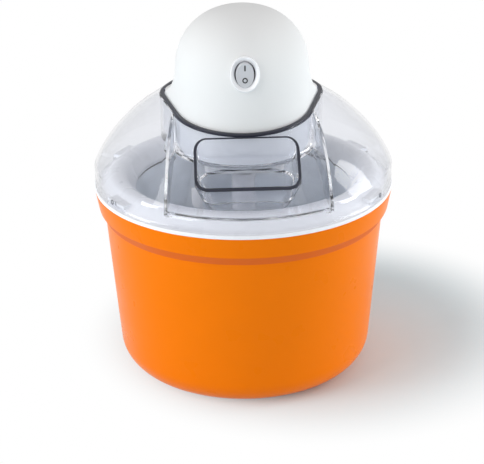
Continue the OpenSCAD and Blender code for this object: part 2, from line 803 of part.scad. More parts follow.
// the switch's own frame, on the dome
module on_face() {
    translate([0, -dome_r(switch_z), switch_z]) rotate([-switch_a, 0, 0]) children();
}

// upright oval between two depths
module oval(x, z, y1, y2) {
    translate([0, y2, 0]) rotate([90, 0, 0]) linear_extrude(y2 - y1) polygon(ellipse(x, z));
}

module switch_bezel() color("#F4F4F5") on_face() difference() {
    union() {
        oval(bezel_x, bezel_z, face_y, flange_y);
        oval(bezel_x - bezel_step, bezel_z - bezel_step, flange_y - 0.1, switch_front);
    }
    oval(opening_x, opening_z, face_y - 1, switch_front + 1);
    // dished front
    oval(opening_x + dish_w, opening_z + dish_w - 0.2, face_y - eps, face_y + dish_depth);
}

module switch_body() color("#26272B") on_face() difference() {
    union() {
        oval(bezel_x - 1, bezel_z - 1, switch_front, case_y + eps);
        translate([-case_x, case_y, -case_z]) cube([2 * case_x, switch_back - case_y, 2 * case_z]);
    }
    oval(opening_x, opening_z, switch_front - 1, case_y + rocker_pocket);
    translate([-bezel_x, pivot_y, 0]) rotate([0, 90, 0])
        cylinder(r = trunnion_r + run_gap, h = 2 * bezel_x);
}

module switch_terminals() color("#D0B070") on_face() for (i = [-1:1])
    translate([-terminal_w / 2, switch_back, i * terminal_pitch - terminal_t / 2])
        cube([terminal_w, terminal_l, terminal_t]);

// rocker, tilted so that its lower half is pressed in
module switch_rocker() color("#C9CACC") on_face() translate([0, pivot_y, 0]) rotate([rocker_a / 2, 0, 0]) {
    intersection() {
        rotate([0, 90, 0]) cylinder(r = rocker_sweep, h = 40, center = true);
        difference() {
            rotate([90, 0, 0]) translate([0, 0, -3.6]) linear_extrude(9.2)
                polygon(ellipse(rocker_x, rocker_z));
            // shallow valley across the face
            translate([0, -valley_r - valley_y - 0.6, 0]) rotate([0, 90, 0])
                cylinder(r = valley_r, h = 40, center = true);
        }
    }
    rotate([0, 90, 0]) cylinder(r = trunnion_r, h = 2 * (bezel_x - 1.8), center = true);
}

// ---------- supply board and cord entry ----------

module supply_board() color("#2F6B45") translate([-board_x, board_y, motor_z])
    cube([2 * board_x, board_t, board_h]);

// a capacitor, two diodes and a fuse
module board_parts() color("#3A3F52") {
    translate([-9, board_y + board_t + 3, parts_z]) cylinder(r = 3, h = 9);
    for (x = [4, 9]) translate([x - 1.6, board_y + board_t, parts_z]) cube([3.2, 2.6, 6]);
    translate([6, board_y - 3.2, parts_z + 6]) cube([9, 3.2, 7]);
}

// bush where the mains cord enters
module cord_gland() color("#F0F0F0") translate([0, 0, gland_z]) rotate([-90, 0, 0]) difference() {
    union() {
        translate([0, 0, gland_in]) cylinder(r = gland_r - 0.05, h = gland_l);
        translate([0, 0, gland_in + gland_l - gland_flange_t])
            cylinder(r = gland_r + gland_flange, h = gland_flange_t);
    }
    translate([0, 0, gland_in - 1]) cylinder(r = gland_bore, h = gland_l + 2);
}

// ---------- drive ----------

module output_gear() color("#EFE9D8") translate([0, 0, level_out]) difference() {
    gear(wheel_z, slow_m, out_t, second_xy, 0.5);
    translate([0, 0, -1]) cylinder(r = shaft_r, h = out_t + 2);
}

module drive_shaft() color("#C4C6C9") {
    translate([0, 0, tang_z]) cylinder(r = shaft_r, h = level_out + out_t - 0.5 - tang_z);
    translate([-tang_x, -tang_y, tang_z - tang_l]) cube([2 * tang_x, 2 * tang_y, tang_l + 1]);
}

module second_gear() color("#EFE9D8") at([second_xy], 0) difference() {
    union() {
        translate([0, 0, level_out]) gear(pinion_z, slow_m, out_t + 1.5, -second_xy);
        translate([0, 0, level_slow]) gear(wheel_z, slow_m, wheel_t, first_xy - second_xy, 0.5);
        translate([0, 0, level_slow + wheel_t - eps])
            cylinder(r = hub_r, h = plate_z - plate_boss_h - hub_gap - level_slow - wheel_t);
    }
    translate([0, 0, level_out - 1]) cylinder(r = axle_r + run_gap, h = 60);
}

module first_gear() color("#EFE9D8") at([first_xy], 0) difference() {
    union() {
        translate([0, 0, level_out]) cylinder(r = 2.9, h = level_slow - level_out + 1);
        translate([0, 0, level_slow]) gear(pinion_z, slow_m, wheel_t + 1.5, second_xy - first_xy);
        translate([0, 0, level_fast]) gear(wheel_z, fast_m, fast_t, motor_xy - first_xy, 0.5);
        translate([0, 0, level_fast + fast_t - eps])
            cylinder(r = hub_r, h = plate_z - plate_boss_h - hub_gap - level_fast - fast_t);
    }
    translate([0, 0, level_out - 1]) cylinder(r = axle_r + run_gap, h = 60);
}

module motor_shaft() color("#C4C6C9") at([motor_xy], level_fast - 0.5)
    cylinder(r = motor_shaft_r, h = motor_z + motor_l + 2.5 - level_fast);

module motor_armature() color("#B06A3A") at([motor_xy], magnet_z)
    tube(motor_shaft_r, armature_r, armature_l);

module motor_commutator() color("#C07A45") at([motor_xy], commutator_z)
    tube(motor_shaft_r, commutator_r, 6);

module motor_pinion() color("#C9A54B") at([motor_xy], level_fast - 0.5) difference() {
    gear(pinion_z, fast_m, fast_t + 1.5, first_xy - motor_xy);
    translate([0, 0, -1]) cylinder(r = motor_shaft_r, h = 20);
}

outer_bucket();
rubber_feet();
bowl_outer_wall();
bowl_liner();
bowl_coolant();
bowl_rim_ring();
liner_seal();
wall_seal();
fill_plug();
paddle();
lid();
head_shell();
head_base();
gear_plate();
motor_can();
motor_magnets();
motor_end_cap();
motor_screws();
plate_screws();
shell_screws();
gear_axles();
drive_bush();
thrust_washer();
drive_seal();
switch_bezel();
switch_body();
switch_terminals();
supply_board();
board_parts();
cord_gland();
switch_rocker();
output_gear();
drive_shaft();
second_gear();
first_gear();
motor_shaft();
motor_armature();
motor_commutator();
motor_pinion();
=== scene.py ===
"""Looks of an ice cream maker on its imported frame: bucket, freezer bowl, clear lid, paddle, motor head."""

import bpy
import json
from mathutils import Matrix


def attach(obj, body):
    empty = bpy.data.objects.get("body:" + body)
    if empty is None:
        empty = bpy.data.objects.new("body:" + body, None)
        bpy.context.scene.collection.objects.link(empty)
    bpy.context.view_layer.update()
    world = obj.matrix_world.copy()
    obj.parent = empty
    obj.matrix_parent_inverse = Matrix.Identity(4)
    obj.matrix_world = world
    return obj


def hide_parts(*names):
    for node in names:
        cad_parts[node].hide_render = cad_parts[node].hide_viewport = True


bl_info = {
    "name": "Ice cream maker",
    "version": (1, 0, 0),
    "blender": (4, 5, 0),
    "location": "View3D > Sidebar > Ice cream maker",
    "description": "Builds the visible pieces of an ice cream maker over its packed construction model",
    "category": "Object",
}

import json
import math

import bmesh
import bpy
from bmesh.types import BMEdge, BMFace, BMVert
from bpy.props import FloatProperty, FloatVectorProperty, PointerProperty
from mathutils import Matrix, Vector

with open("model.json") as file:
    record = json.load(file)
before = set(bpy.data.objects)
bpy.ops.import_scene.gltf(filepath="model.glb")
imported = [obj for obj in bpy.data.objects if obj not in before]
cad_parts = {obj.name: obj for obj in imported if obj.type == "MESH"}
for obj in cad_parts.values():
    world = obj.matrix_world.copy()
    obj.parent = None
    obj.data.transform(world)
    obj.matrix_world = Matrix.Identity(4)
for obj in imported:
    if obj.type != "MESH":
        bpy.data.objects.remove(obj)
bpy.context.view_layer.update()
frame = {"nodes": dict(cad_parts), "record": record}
MM = 0.001
# steps of a full turn, and the angle in degrees up to which two faces are shaded as one
STEPS = 144
SMOOTH = 35


def linear(code):
    """An sRGB hex colour as linear RGB."""
    parts = [int(code[i : i + 2], 16) / 255 for i in (1, 3, 5)]
    return tuple(c / 12.92 if c <= 0.04045 else ((c + 0.055) / 1.055) ** 2.4 for c in parts)


# ---------- sizes and colours that a user would change ----------


def length(label, text, mm):
    return FloatProperty(name=label, description=text, default=mm * MM, min=0, unit="LENGTH", precision=5)


def colour(label, text, code):
    return FloatVectorProperty(
        name=label, description=text, default=linear(code), size=3, subtype="COLOR", min=0, max=1
    )


def light(label, text, watts):
    return FloatProperty(name=label, description=text, default=watts, min=0, unit="POWER")


def in_mm(group, *names):
    """Some of a group's lengths, in millimetres."""
    return [getattr(group, name) / MM for name in names]


class BucketSizes(bpy.types.PropertyGroup):
    rim_z: length("Rim height", "Height of the bucket's rim", 136)
    rim_r: length("Rim radius", "Outer radius at the rim", 105)
    body_r: length("Body radius", "Outer radius below the collar", 98.2)
    base_r: length("Base radius", "Radius that the wall tapers to at the base", 88.5)
    step_z: length("Step height", "Height of the lower edge of the collar", 122)
    wall: length("Wall", "Thickness of the wall", 2.4)
    plastic: colour("Bucket", "Moulded polypropylene of the bucket", "#F27900")
    # the band's darker orange is painted shade under the collar
    band: colour("Band with painted shade", "The same plastic on the slope under the collar", "#DF6408")


class BowlSizes(bpy.types.PropertyGroup):
    seam_r: length("Seam radius", "Inner radius where the liner meets the rim ring", 76.5)
    floor_r: length("Floor radius", "Inner radius of the liner above its rounded floor", 68)
    floor_z: length("Floor height", "Height of the liner's floor", 26)
    crest_z: length("Crest height", "Height of the rim ring's crest", 147.6)
    wall: length("Wall", "Thickness of the drawn liner", 1.2)
    liner: colour("Liner", "Anodised aluminium of the liner", "#E6EAEF")
    ring: colour("Rim ring", "Moulded polypropylene of the rim ring", "#F2F3F7")


class LidSizes(bpy.types.PropertyGroup):
    skirt_r: length("Skirt radius", "Outer radius of the upright skirt", 104.5)
    wall: length("Wall", "Thickness of the clear wall", 2)
    edge_z: length("Well edge height", "Height of the front of the well's sloping edge", 189.4)
    well_z: length("Well floor height", "Height of the floor that the head stands on", 166.5)
    well_wall: length("Well wall", "Thickness of the upright wall round the head", 3)
    clear: colour("Clear plastic", "Clear styrene acrylonitrile of the lid", "#F5F6F9")
    # the edge colour is painted reflection and shade on the clear plastic's thick edges
    edge: colour("Edge, painted dark", "Painted reflection and shade on the thick edges of the clear plastic", "#171A2C")


class HeadSizes(bpy.types.PropertyGroup):
    radius: length("Radius", "Radius of the domed front", 46.4)
    tail_r: length("Tail radius", "Radius of the wide back", 58.8)
    dome_z: length("Dome base", "Height at which the dome starts", 219)
    dome_h: length("Dome height", "Height of the dome", 45)
    wall: length("Wall", "Thickness of the shell", 2.2)
    switch_z: length("Switch height", "Height of the switch's middle", 230)
    plastic: colour("Housing", "Gloss ABS of the head and paddle", "#F1F1F4")
    rocker: colour("Rocker", "Satin ABS of the rocker", "#C9CACF")


class StageSizes(bpy.types.PropertyGroup):
    key: light("Key light", "Power of the left softbox", 9.0)
    fill: light("Fill light", "Power of the right softbox", 6.0)
    room: FloatProperty(name="Room", description="Strength of the white room around", default=0.98, min=0)
    # the floor's cool tint is painted to take out the orange light that the bucket bounces onto it
    floor: colour("Floor", "Pale floor under the object", "#DCEDF3")


# ---------- materials ----------


def add(tree, kind, values=None, links=None, stops=None, **settings):
    """Add one node: its own settings, numbers on its sockets, links into them and a ramp's stops."""
    n = tree.nodes.new(kind)
    for k, v in settings.items():
        setattr(n, k, v)
    for k, v in (values or {}).items():
        n.inputs[k].default_value = v
    for k, v in (links or {}).items():
        tree.links.new(v, n.inputs[k])
    if stops:
        while len(n.color_ramp.elements) < len(stops):
            n.color_ramp.elements.new(0.5)
        for e, (at, c) in zip(n.color_ramp.elements, stops):
            e.position = at
            e.color = (*c, 1)
    return n


def start(name):
    """A new material, its tree with nothing else in it, and the object's coordinates."""
    m = bpy.data.materials.new(name)
    m.use_nodes = True
    t = m.node_tree
    t.nodes.clear()
    return m, t, add(t, "ShaderNodeTexCoord").outputs["Object"]


def opaque(t, tone, sheen, relief, **sockets):
    """An opaque skin that follows textures: tone is (texture, colour stops), sheen is (texture, lowest
    and highest roughness) and relief is (texture, strength, depth in millimetres)."""
    clouds, stops = tone
    gloss, low, high = sheen
    height, strength, depth = relief
    ramp = add(t, "ShaderNodeValToRGB", links={"Fac": clouds}, stops=stops)
    span = {"From Min": 0.3, "From Max": 0.7, "To Min": low, "To Max": high}
    rough = add(t, "ShaderNodeMapRange", span, {"Value": gloss})
    bump = add(t, "ShaderNodeBump", {"Strength": strength, "Distance": depth * MM}, {"Height": height})
    links = {"Base Color": ramp.outputs["Color"], "Roughness": rough.outputs["Result"]}
    links["Normal"] = bump.outputs["Normal"]
    skin = add(t, "ShaderNodeBsdfPrincipled", sockets, links)
    add(t, "ShaderNodeOutputMaterial", links={"Surface": skin.outputs["BSDF"]})


def tinted(base, share):
    """A colour made darker or lighter by a share."""
    return [min(1, c * share) for c in base]


def moulded(name, base, rough, ior=1.5, grain=1.6, depth=0.012, mottle=0.03, **sockets):
    """Injection-moulded plastic: fine orange peel and flow marks from the mould over one even colour.
    grain is the size of the orange peel in millimetres."""
    m, t, place = start(name)
    peel = add(t, "ShaderNodeTexNoise", {"Scale": 1 / (grain * MM), "Detail": 3.0}, {"Vector": place})
    flow = add(t, "ShaderNodeTexNoise", {"Scale": 1 / (22 * MM), "Detail": 2.0}, {"Vector": place})
    flow, peel = flow.outputs["Fac"], peel.outputs["Fac"]
    tones = [(0.25, tinted(base, 1 - mottle)), (0.75, tinted(base, 1 + mottle / 2))]
    opaque(t, (flow, tones), (flow, rough * 0.88, rough * 1.14), (peel, 0.35, depth), IOR=ior, **sockets)
    return m


def spun(name, base, rough, pitch, depth=0.01):
    """Turned, drawn or spun metal: fine rings round the upright axis, a pitch in millimetres apart."""
    m, t, place = start(name)
    flat = add(t, "ShaderNodeMapping", {"Scale": (0.02, 0.02, 1)}, {"Vector": place}).outputs["Vector"]
    rings = add(t, "ShaderNodeTexNoise", {"Scale": 1 / (pitch * MM), "Detail": 4.0}, {"Vector": flat})
    cloud = add(t, "ShaderNodeTexNoise", {"Scale": 1 / (16 * MM), "Detail": 3.0}, {"Vector": place})
    rings, cloud = rings.outputs["Fac"], cloud.outputs["Fac"]
    tones = [(0.2, tinted(base, 0.9)), (0.8, tinted(base, 1.06))]
    opaque(t, (cloud, tones), (rings, rough * 0.85, rough * 1.2), (rings, 0.3, depth), Metallic=1.0)
    return m


# height in millimetres up to which the lid's skirt is etched
FROST_TOP = 147


def clear(name, base, deep, rough, transmission=1.0, frost=None):
    """Polished clear moulding: sharp reflections, a faint flow ripple, and lamps reach what is behind it.
    Its tint is base, darker where one looks along the wall, which is painted shade; past the second wall it
    is deep.
    frost is the roughness of the finely etched skirt."""
    m, t, place = start(name)
    ripple = add(t, "ShaderNodeTexNoise", {"Scale": 1 / (30 * MM), "Detail": 1.0}, {"Vector": place})
    bump = add(
        t, "ShaderNodeBump", {"Strength": 0.1, "Distance": 0.05 * MM}, {"Height": ripple.outputs["Fac"]}
    )
    path = add(t, "ShaderNodeLightPath").outputs
    # painted shade: the tint darkens to half where one looks along the wall
    along = add(t, "ShaderNodeLayerWeight", {"Blend": 0.25})
    near = add(t, "ShaderNodeMapRange", {"From Min": 0.25}, {"Value": along.outputs["Facing"]})
    tints = {6: (*base, 1), 7: (*tinted(base, 0.5), 1)}
    wall = add(t, "ShaderNodeMix", tints, {0: near.outputs["Result"]}, data_type="RGBA")
    # two walls are four surfaces
    past = add(t, "ShaderNodeMath", {1: 4.5}, {0: path["Transmission Depth"]}, operation="GREATER_THAN")
    links = {0: past.outputs["Value"], 6: wall.outputs[2]}
    tint = add(t, "ShaderNodeMix", {7: (*deep, 1)}, links, data_type="RGBA")
    links = {"Base Color": tint.outputs[2], "Normal": bump.outputs["Normal"]}
    if frost:
        height = add(t, "ShaderNodeSeparateXYZ", links={"Vector": place})
        span = {"From Min": (FROST_TOP - 0.5) * MM, "From Max": (FROST_TOP + 0.5) * MM}
        span.update({"To Min": frost, "To Max": rough})
        z = {"Value": height.outputs["Z"]}
        etch = add(t, "ShaderNodeMapRange", span, z, interpolation_type="SMOOTHSTEP")
        links["Roughness"] = etch.outputs["Result"]
    values = {"IOR": 1.5, "Transmission Weight": transmission, "Roughness": rough}
    skin = add(t, "ShaderNodeBsdfPrincipled", values, links)
    shade = add(t, "ShaderNodeBsdfTransparent", {"Color": (*[0.35 + 0.65 * c for c in base], 1)})
    lit = add(
        t, "ShaderNodeMath", links={0: path["Is Shadow Ray"], 1: path["Is Diffuse Ray"]}, operation="MAXIMUM"
    )
    both = add(
        t,
        "ShaderNodeMixShader",
        links={0: lit.outputs["Value"], 1: skin.outputs["BSDF"], 2: shade.outputs["BSDF"]},
    )
    add(t, "ShaderNodeOutputMaterial", links={"Surface": both.outputs["Shader"]})
    return m


def finishes(context):
    """Every finish by name: one for each slot in the record, and four for a piece or a part of one."""
    s = context.scene
    bucket, bowl, lid, head = s.maker_bucket, s.maker_bowl, s.maker_lid, s.maker_head
    return {
        # polypropylene, gloss mould: waxy soft highlight, even strong colour
        "orange_plastic": moulded(
            "Polypropylene, gloss orange",
            bucket.plastic,
            0.3,
            ior=1.49,
            depth=0.006,
            mottle=0.015,
            **{"Specular IOR Level": 0.08},
        ),
        # the same plastic, rougher, in a band painted darker: painted shade under the collar
        "orange_painted_shade": moulded(
            "Polypropylene, orange with painted shade",
            bucket.band,
            0.55,
            ior=1.49,
            grain=0.8,
            **{"Specular IOR Level": 0.3},
        ),
        # ABS, polished mould: clean crisp highlight on cool white
        "white_plastic": moulded("ABS, gloss white", head.plastic, 0.24, ior=1.53, mottle=0.01),
        # polypropylene, polished mould: a slightly greyer, waxier white than the head
        "ring_plastic": moulded("Polypropylene, pale grey", bowl.ring, 0.28, ior=1.49, mottle=0.01),
        # styrene acrylonitrile: glass clear, hard and shiny, with an etched skirt
        "clear_plastic": clear("Styrene acrylonitrile, clear", lid.clear, (1, 1, 1), 0.03, frost=0.2),
        # the same plastic on its thick edges, painted a dark cool tint for the reflection and shade seen
        # there
        "clear_painted_edge": clear("Styrene acrylonitrile, painted dark edge", lid.edge, lid.edge, 0.3, 0.05),
        # ABS, spark-eroded mould: grainy satin
        "grey_plastic": moulded("ABS, satin grey", head.rocker, 0.42, grain=0.7, depth=0.08, mottle=0.06),
        # phenolic: dull near-black moulding
        "black_plastic": moulded("Phenolic, black", linear("#26272B"), 0.5, grain=0.9),
        # acetal: waxy cream wheels
        "gear_plastic": moulded("Acetal, natural", linear("#EAE5D6"), 0.38, ior=1.48),
        # frozen gel: pale blue and slightly cloudy
        "coolant": moulded("Coolant gel, frozen", linear("#A6CBE2"), 0.35, ior=1.33, mottle=0.1),
        # nitrile rubber: dark, soft, almost no highlight
        "rubber": moulded("Nitrile rubber, black", linear("#2E2F33"), 0.65, grain=0.8),
        # aluminium, drawn and anodised: satin grey with faint rings
        "aluminium": spun("Aluminium, spun and anodised", bowl.liner, 0.55, 1.2),
        # steel, turned and zinc plated: bright with a fine lay
        "steel": spun("Steel, zinc plated", linear("#C2C4C8"), 0.3, 0.8),
        # bronze bush and brass terminals: warm and a little dull
        "bronze": spun("Bronze, sintered", linear("#B58B50"), 0.4, 0.6),
        # lacquered copper wire round laminations: close shiny turns
        "windings": spun("Copper wire, lacquered", linear("#B0673A"), 0.35, 0.5, depth=0.05),
        # glass-fibre board with green resist: smooth and slightly wavy
        "board": moulded("Glass fibre board, green", linear("#2C6A43"), 0.32, grain=1.2),
        # pad-printed ink: flat and dark
        "ink": moulded("Pad-printed ink, black", linear("#1B1C20"), 0.45, grain=0.5),
    }


FINISHES = {}


def finish_of(context, slot):
    if not FINISHES:
        FINISHES.update(finishes(context))
    return FINISHES[slot]


# ---------- shape helpers, in millimetres ----------


def of_kind(geom, kind):
    """The vertices, edges or faces in what an operator gives back."""
    return [g for g in geom if isinstance(g, kind)]


def round_off(bm, geom, offset, segments, affect="EDGES", **more):
    """Round edges or corners."""
    bmesh.ops.bevel(
        bm,
        geom=geom,
        offset=offset,
        offset_type="OFFSET",
        segments=segments,
        profile=0.5,
        affect=affect,
        material=-1,
        **more,
    )


def move(bm, by):
    bmesh.ops.translate(bm, vec=by, verts=bm.verts)


def swing(bm, degrees, axis="Z"):
    """Turn a mesh about an axis through the origin."""
    way = Matrix.Rotation(math.radians(degrees), 3, axis)
    bmesh.ops.rotate(bm, verts=bm.verts, cent=(0, 0, 0), matrix=way)


def stretch(bm, by):
    bmesh.ops.scale(bm, vec=by, verts=bm.verts)


def close(bm):
    """Fill every open end."""
    bmesh.ops.holes_fill(bm, edges=[e for e in bm.edges if e.is_boundary], sides=0)


def wire(bm, points, soft=(), closed=False):
    """A flat chain of points (radius, height) on the XZ plane. Each (corner's number, offset) in soft
    rounds one corner, in this order."""
    verts = [bm.verts.new((r, 0, z)) for r, z in points]
    pairs = list(zip(verts, verts[1:])) + ([(verts[-1], verts[0])] if closed else [])
    for pair in pairs:
        bm.edges.new(pair)
    for i, offset in soft:
        round_off(bm, [verts[i]], offset, 5 + int(offset / 2), "VERTICES")


def turn(points, soft=(), closed=False, steps=STEPS, angle=360.0, from_angle=0.0):
    """A profile turned round the Z axis into a skin."""
    bm = bmesh.new()
    wire(bm, points, soft, closed)
    if from_angle:
        swing(bm, from_angle)
    bmesh.ops.spin(
        bm,
        geom=bm.verts[:] + bm.edges[:],
        cent=(0, 0, 0),
        axis=(0, 0, 1),
        dvec=(0, 0, 0),
        angle=math.radians(angle),
        steps=steps,
        use_merge=angle == 360,
        use_normal_flip=False,
        use_duplicate=False,
    )
    bmesh.ops.remove_doubles(bm, verts=bm.verts, dist=0.002)
    if angle != 360:
        close(bm)
    bmesh.ops.recalc_face_normals(bm, faces=bm.faces)
    return bm


def block(size, at, soft=0.0, segments=3, only=None):
    """A box of a size with its middle at a point, its edges (or only those that the test picks) rounded."""
    bm = bmesh.new()
    bmesh.ops.create_cube(bm, size=1)
    stretch(bm, size)
    move(bm, at)
    if soft:
        round_off(bm, [e for e in bm.edges if only is None or only(e)], soft, segments)
    return bm


def upright(e):
    """Whether an edge is vertical."""
    a, b = e.verts
    return abs(a.co.z - b.co.z) > 0.9 * e.calc_length()


def prism(points, low, high, soft=0.0):
    """A flat outline on the XZ plane drawn from y = low to y = high, its sharp edges rounded."""
    bm = bmesh.new()
    face = bm.faces.new([bm.verts.new((x, low, z)) for x, z in points])
    grown = bmesh.ops.extrude_face_region(bm, geom=[face])["geom"]
    bmesh.ops.translate(bm, vec=(0, high - low, 0), verts=of_kind(grown, BMVert))
    bmesh.ops.recalc_face_normals(bm, faces=bm.faces)
    if soft:
        round_off(bm, bm.edges[:], soft, 2, clamp_overlap=True)
    return bm


def append(bm, part, at=(0, 0, 0)):
    """Put a second mesh, moved, into the first."""
    move(part, at)
    mesh = bpy.data.meshes.new("part")
    part.to_mesh(mesh)
    part.free()
    bm.from_mesh(mesh)
    bpy.data.meshes.remove(mesh)


def face_out(bm, far):
    """Make the faces agree and point outwards, judged by the face that lies farthest towards far."""
    bmesh.ops.recalc_face_normals(bm, faces=bm.faces)
    last = max(bm.faces, key=lambda f: f.calc_center_median().dot(Vector(far)))
    if last.normal.dot(Vector(far)) < 0:
        bmesh.ops.reverse_faces(bm, faces=bm.faces)


def shade(mesh, smooth=SMOOTH):
    mesh.shade_smooth()
    mesh.set_sharp_from_angle(angle=math.radians(smooth))


def put(bm, name, smooth=SMOOTH, into=None):
    """The mesh as an object in metres at the origin; into joins it to an object already there."""
    stretch(bm, (MM, MM, MM))
    if into is None:
        obj = bpy.data.objects.new(name, bpy.data.meshes.new(name))
        bpy.context.scene.collection.objects.link(obj)
    else:
        obj = into
        bm.from_mesh(obj.data)
    bm.to_mesh(obj.data)
    bm.free()
    shade(obj.data, smooth)
    return obj


def thicken(obj, wall, even=True):
    """Give a sheet a wall inwards, in metres."""
    solid = obj.modifiers.new("wall", "SOLIDIFY")
    solid.thickness = wall
    solid.offset = -1
    solid.use_even_offset = even


def ease(obj, width, segments, sharper_than):
    """Round the edges that are sharper than an angle, in degrees, by a width in millimetres."""
    edge = obj.modifiers.new("edge", "BEVEL")
    edge.width = width * MM
    edge.segments = segments
    edge.limit_method = "ANGLE"
    edge.angle_limit = math.radians(sharper_than)


def settle(obj):
    """Apply the object's modifiers to its mesh."""
    bpy.context.view_layer.update()
    seen = obj.evaluated_get(bpy.context.evaluated_depsgraph_get())
    mesh = bpy.data.meshes.new_from_object(seen)
    obj.modifiers.clear()
    old, obj.data = obj.data, mesh
    bpy.data.meshes.remove(old)
    shade(mesh)


def combine(obj, others, how):
    """Join to, or cut from, the object every other one, which are then gone."""
    for other in others:
        cut = obj.modifiers.new("combine", "BOOLEAN")
        cut.operation = how
        cut.solver = "MANIFOLD"
        cut.object = other
        settle(obj)
        # an object goes with its mesh
        bpy.data.meshes.remove(other.data)


def wear(obj, *materials):
    for m in materials:
        obj.data.materials.append(m)
    return obj


def hand_over(context, obj, body, slot, *nodes):
    """Put a finished piece on its body in its finish, in place of CAD nodes."""
    if not obj.data.materials:
        wear(obj, finish_of(context, slot))
    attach(obj, body)
    if nodes:
        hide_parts(*nodes)
    return obj


# ---------- places that several pieces share, in millimetres and degrees ----------

# middles of the bayonet lugs, and the angle that each spans
LUGS_AT = (30, 150, 210, 330)
LUG_SPAN = 12
# plan of the well: outer radius in front and at the back, and the cheeks that lean out between them
WELL_FRONT, WELL_BACK = 50, 62.4
CHEEK, CHEEK_END = math.radians(17), math.radians(70)
# how sharply the cheeks turn into the back
CHEEK_TURN = 28
# how much of the dome's sheet runs into the well's wall
SUNK = 0.8
EDGE_SLOPE = math.tan(math.radians(6.6))
# height of the painted dark edge along the well: painted reflection and shade
EDGE_BAND = 2.2
# side wall of the lid's front recess, in plan: its corner at the well and how it leans out to the front
RECESS_X, RECESS_Y, RECESS_LEAN = 47.8, -14.6, 0.081
# the chute: plan, rounding of its corners, heights, and how far it draws in from its mouth to its throat
CHUTE_X, CHUTE_FRONT, CHUTE_BACK, CHUTE_CORNER = 35.5, -84.0, -50.6, 8.5
CHUTE_THROAT, CHUTE_MOUTH, CHUTE_MOUTH_BACK, CHUTE_TOP = 141.5, 163.4, 187.8, 190
CHUTE_DRAW = 9
# underside of the head's base, and the height where its cord comes in
BASE_Z, CORD_Z = 166.5, 216


def well_reach(x, y, front, back):
    """Radius of the head's plan towards (x, y): round in front, cheeks that lean out, round back."""
    a = math.atan2(y, abs(x)) + CHEEK
    if a <= 0:
        return front
    if a >= CHEEK_END:
        return back
    return ((front / math.cos(a)) ** -CHEEK_TURN + back**-CHEEK_TURN) ** (-1 / CHEEK_TURN)


def edge_height(y, top):
    """Height of the well's edge, which slopes up to the back from top at its front."""
    return top + EDGE_SLOPE * (y + WELL_FRONT)


def bayonet(points, at, steps, soft=()):
    """A profile turned through one lug's span, with its middle at an angle."""
    return turn(points, soft, closed=True, steps=steps, angle=LUG_SPAN, from_angle=at - LUG_SPAN / 2)


# ---------- pieces ----------


class MAKER_OT_bucket(bpy.types.Operator):
    """Make the outer bucket, with its stepped collar and rounded foot, and its rubber feet"""

    bl_idname = "maker.bucket"
    bl_label = "Bucket and feet"

    def execute(self, context):
        p = context.scene.maker_bucket
        z, r, body, base, step, t = in_mm(p, "rim_z", "rim_r", "body_r", "base_r", "step_z", "wall")
        slope = step - 7
        taper = (body - base) / slope
        # outside, from the middle of the base up to the rim, then inside, back down
        points = [(0, 1.2), (base + taper * 1.2, 1.2), (body, slope), (r - 2.7, step - 0.4), (r, z)]
        points += [(r - t - 1.2, z), (r - 2.7 - t, step + 2), (body - t, slope)]
        points += [(base + taper * 4 - t, 4.2), (0, 4.2)]
        soft = [(1, 20), (2, 0.8), (3, 0.8), (4, 0.5), (5, 0.5), (6, 2), (7, 2), (8, 17.5)]
        bm = turn(points, soft)
        for f in bm.faces:
            at = f.calc_center_median()
            # the slope under the collar is rougher, and painted darker as shade under the collar
            f.material_index = int(slope + 0.2 < at.z < step - 0.6 and at.xy.length > body - 0.1)
        bucket = put(bm, "outer_bucket_shell", 40)
        wear(bucket, finish_of(context, "orange_plastic"), finish_of(context, "orange_painted_shade"))
        hand_over(context, bucket, "bucket", "orange_plastic", "outer_bucket")

        feet, ring = bmesh.new(), 55.5
        profile = [(0, 0), (8, 0), (8, 1.3), (3, 1.3), (3, 4.2), (4, 4.2), (2.6, 6.2), (0, 6.2)]
        for a in range(45, 360, 90):
            at = (ring * math.cos(math.radians(a)), ring * math.sin(math.radians(a)), 0)
            append(feet, turn(profile, [(1, 0.4)], steps=32), at)
        hand_over(context, put(feet, "push_in_feet", 40), "bucket", "rubber", "rubber_feet")
        return {"FINISHED"}


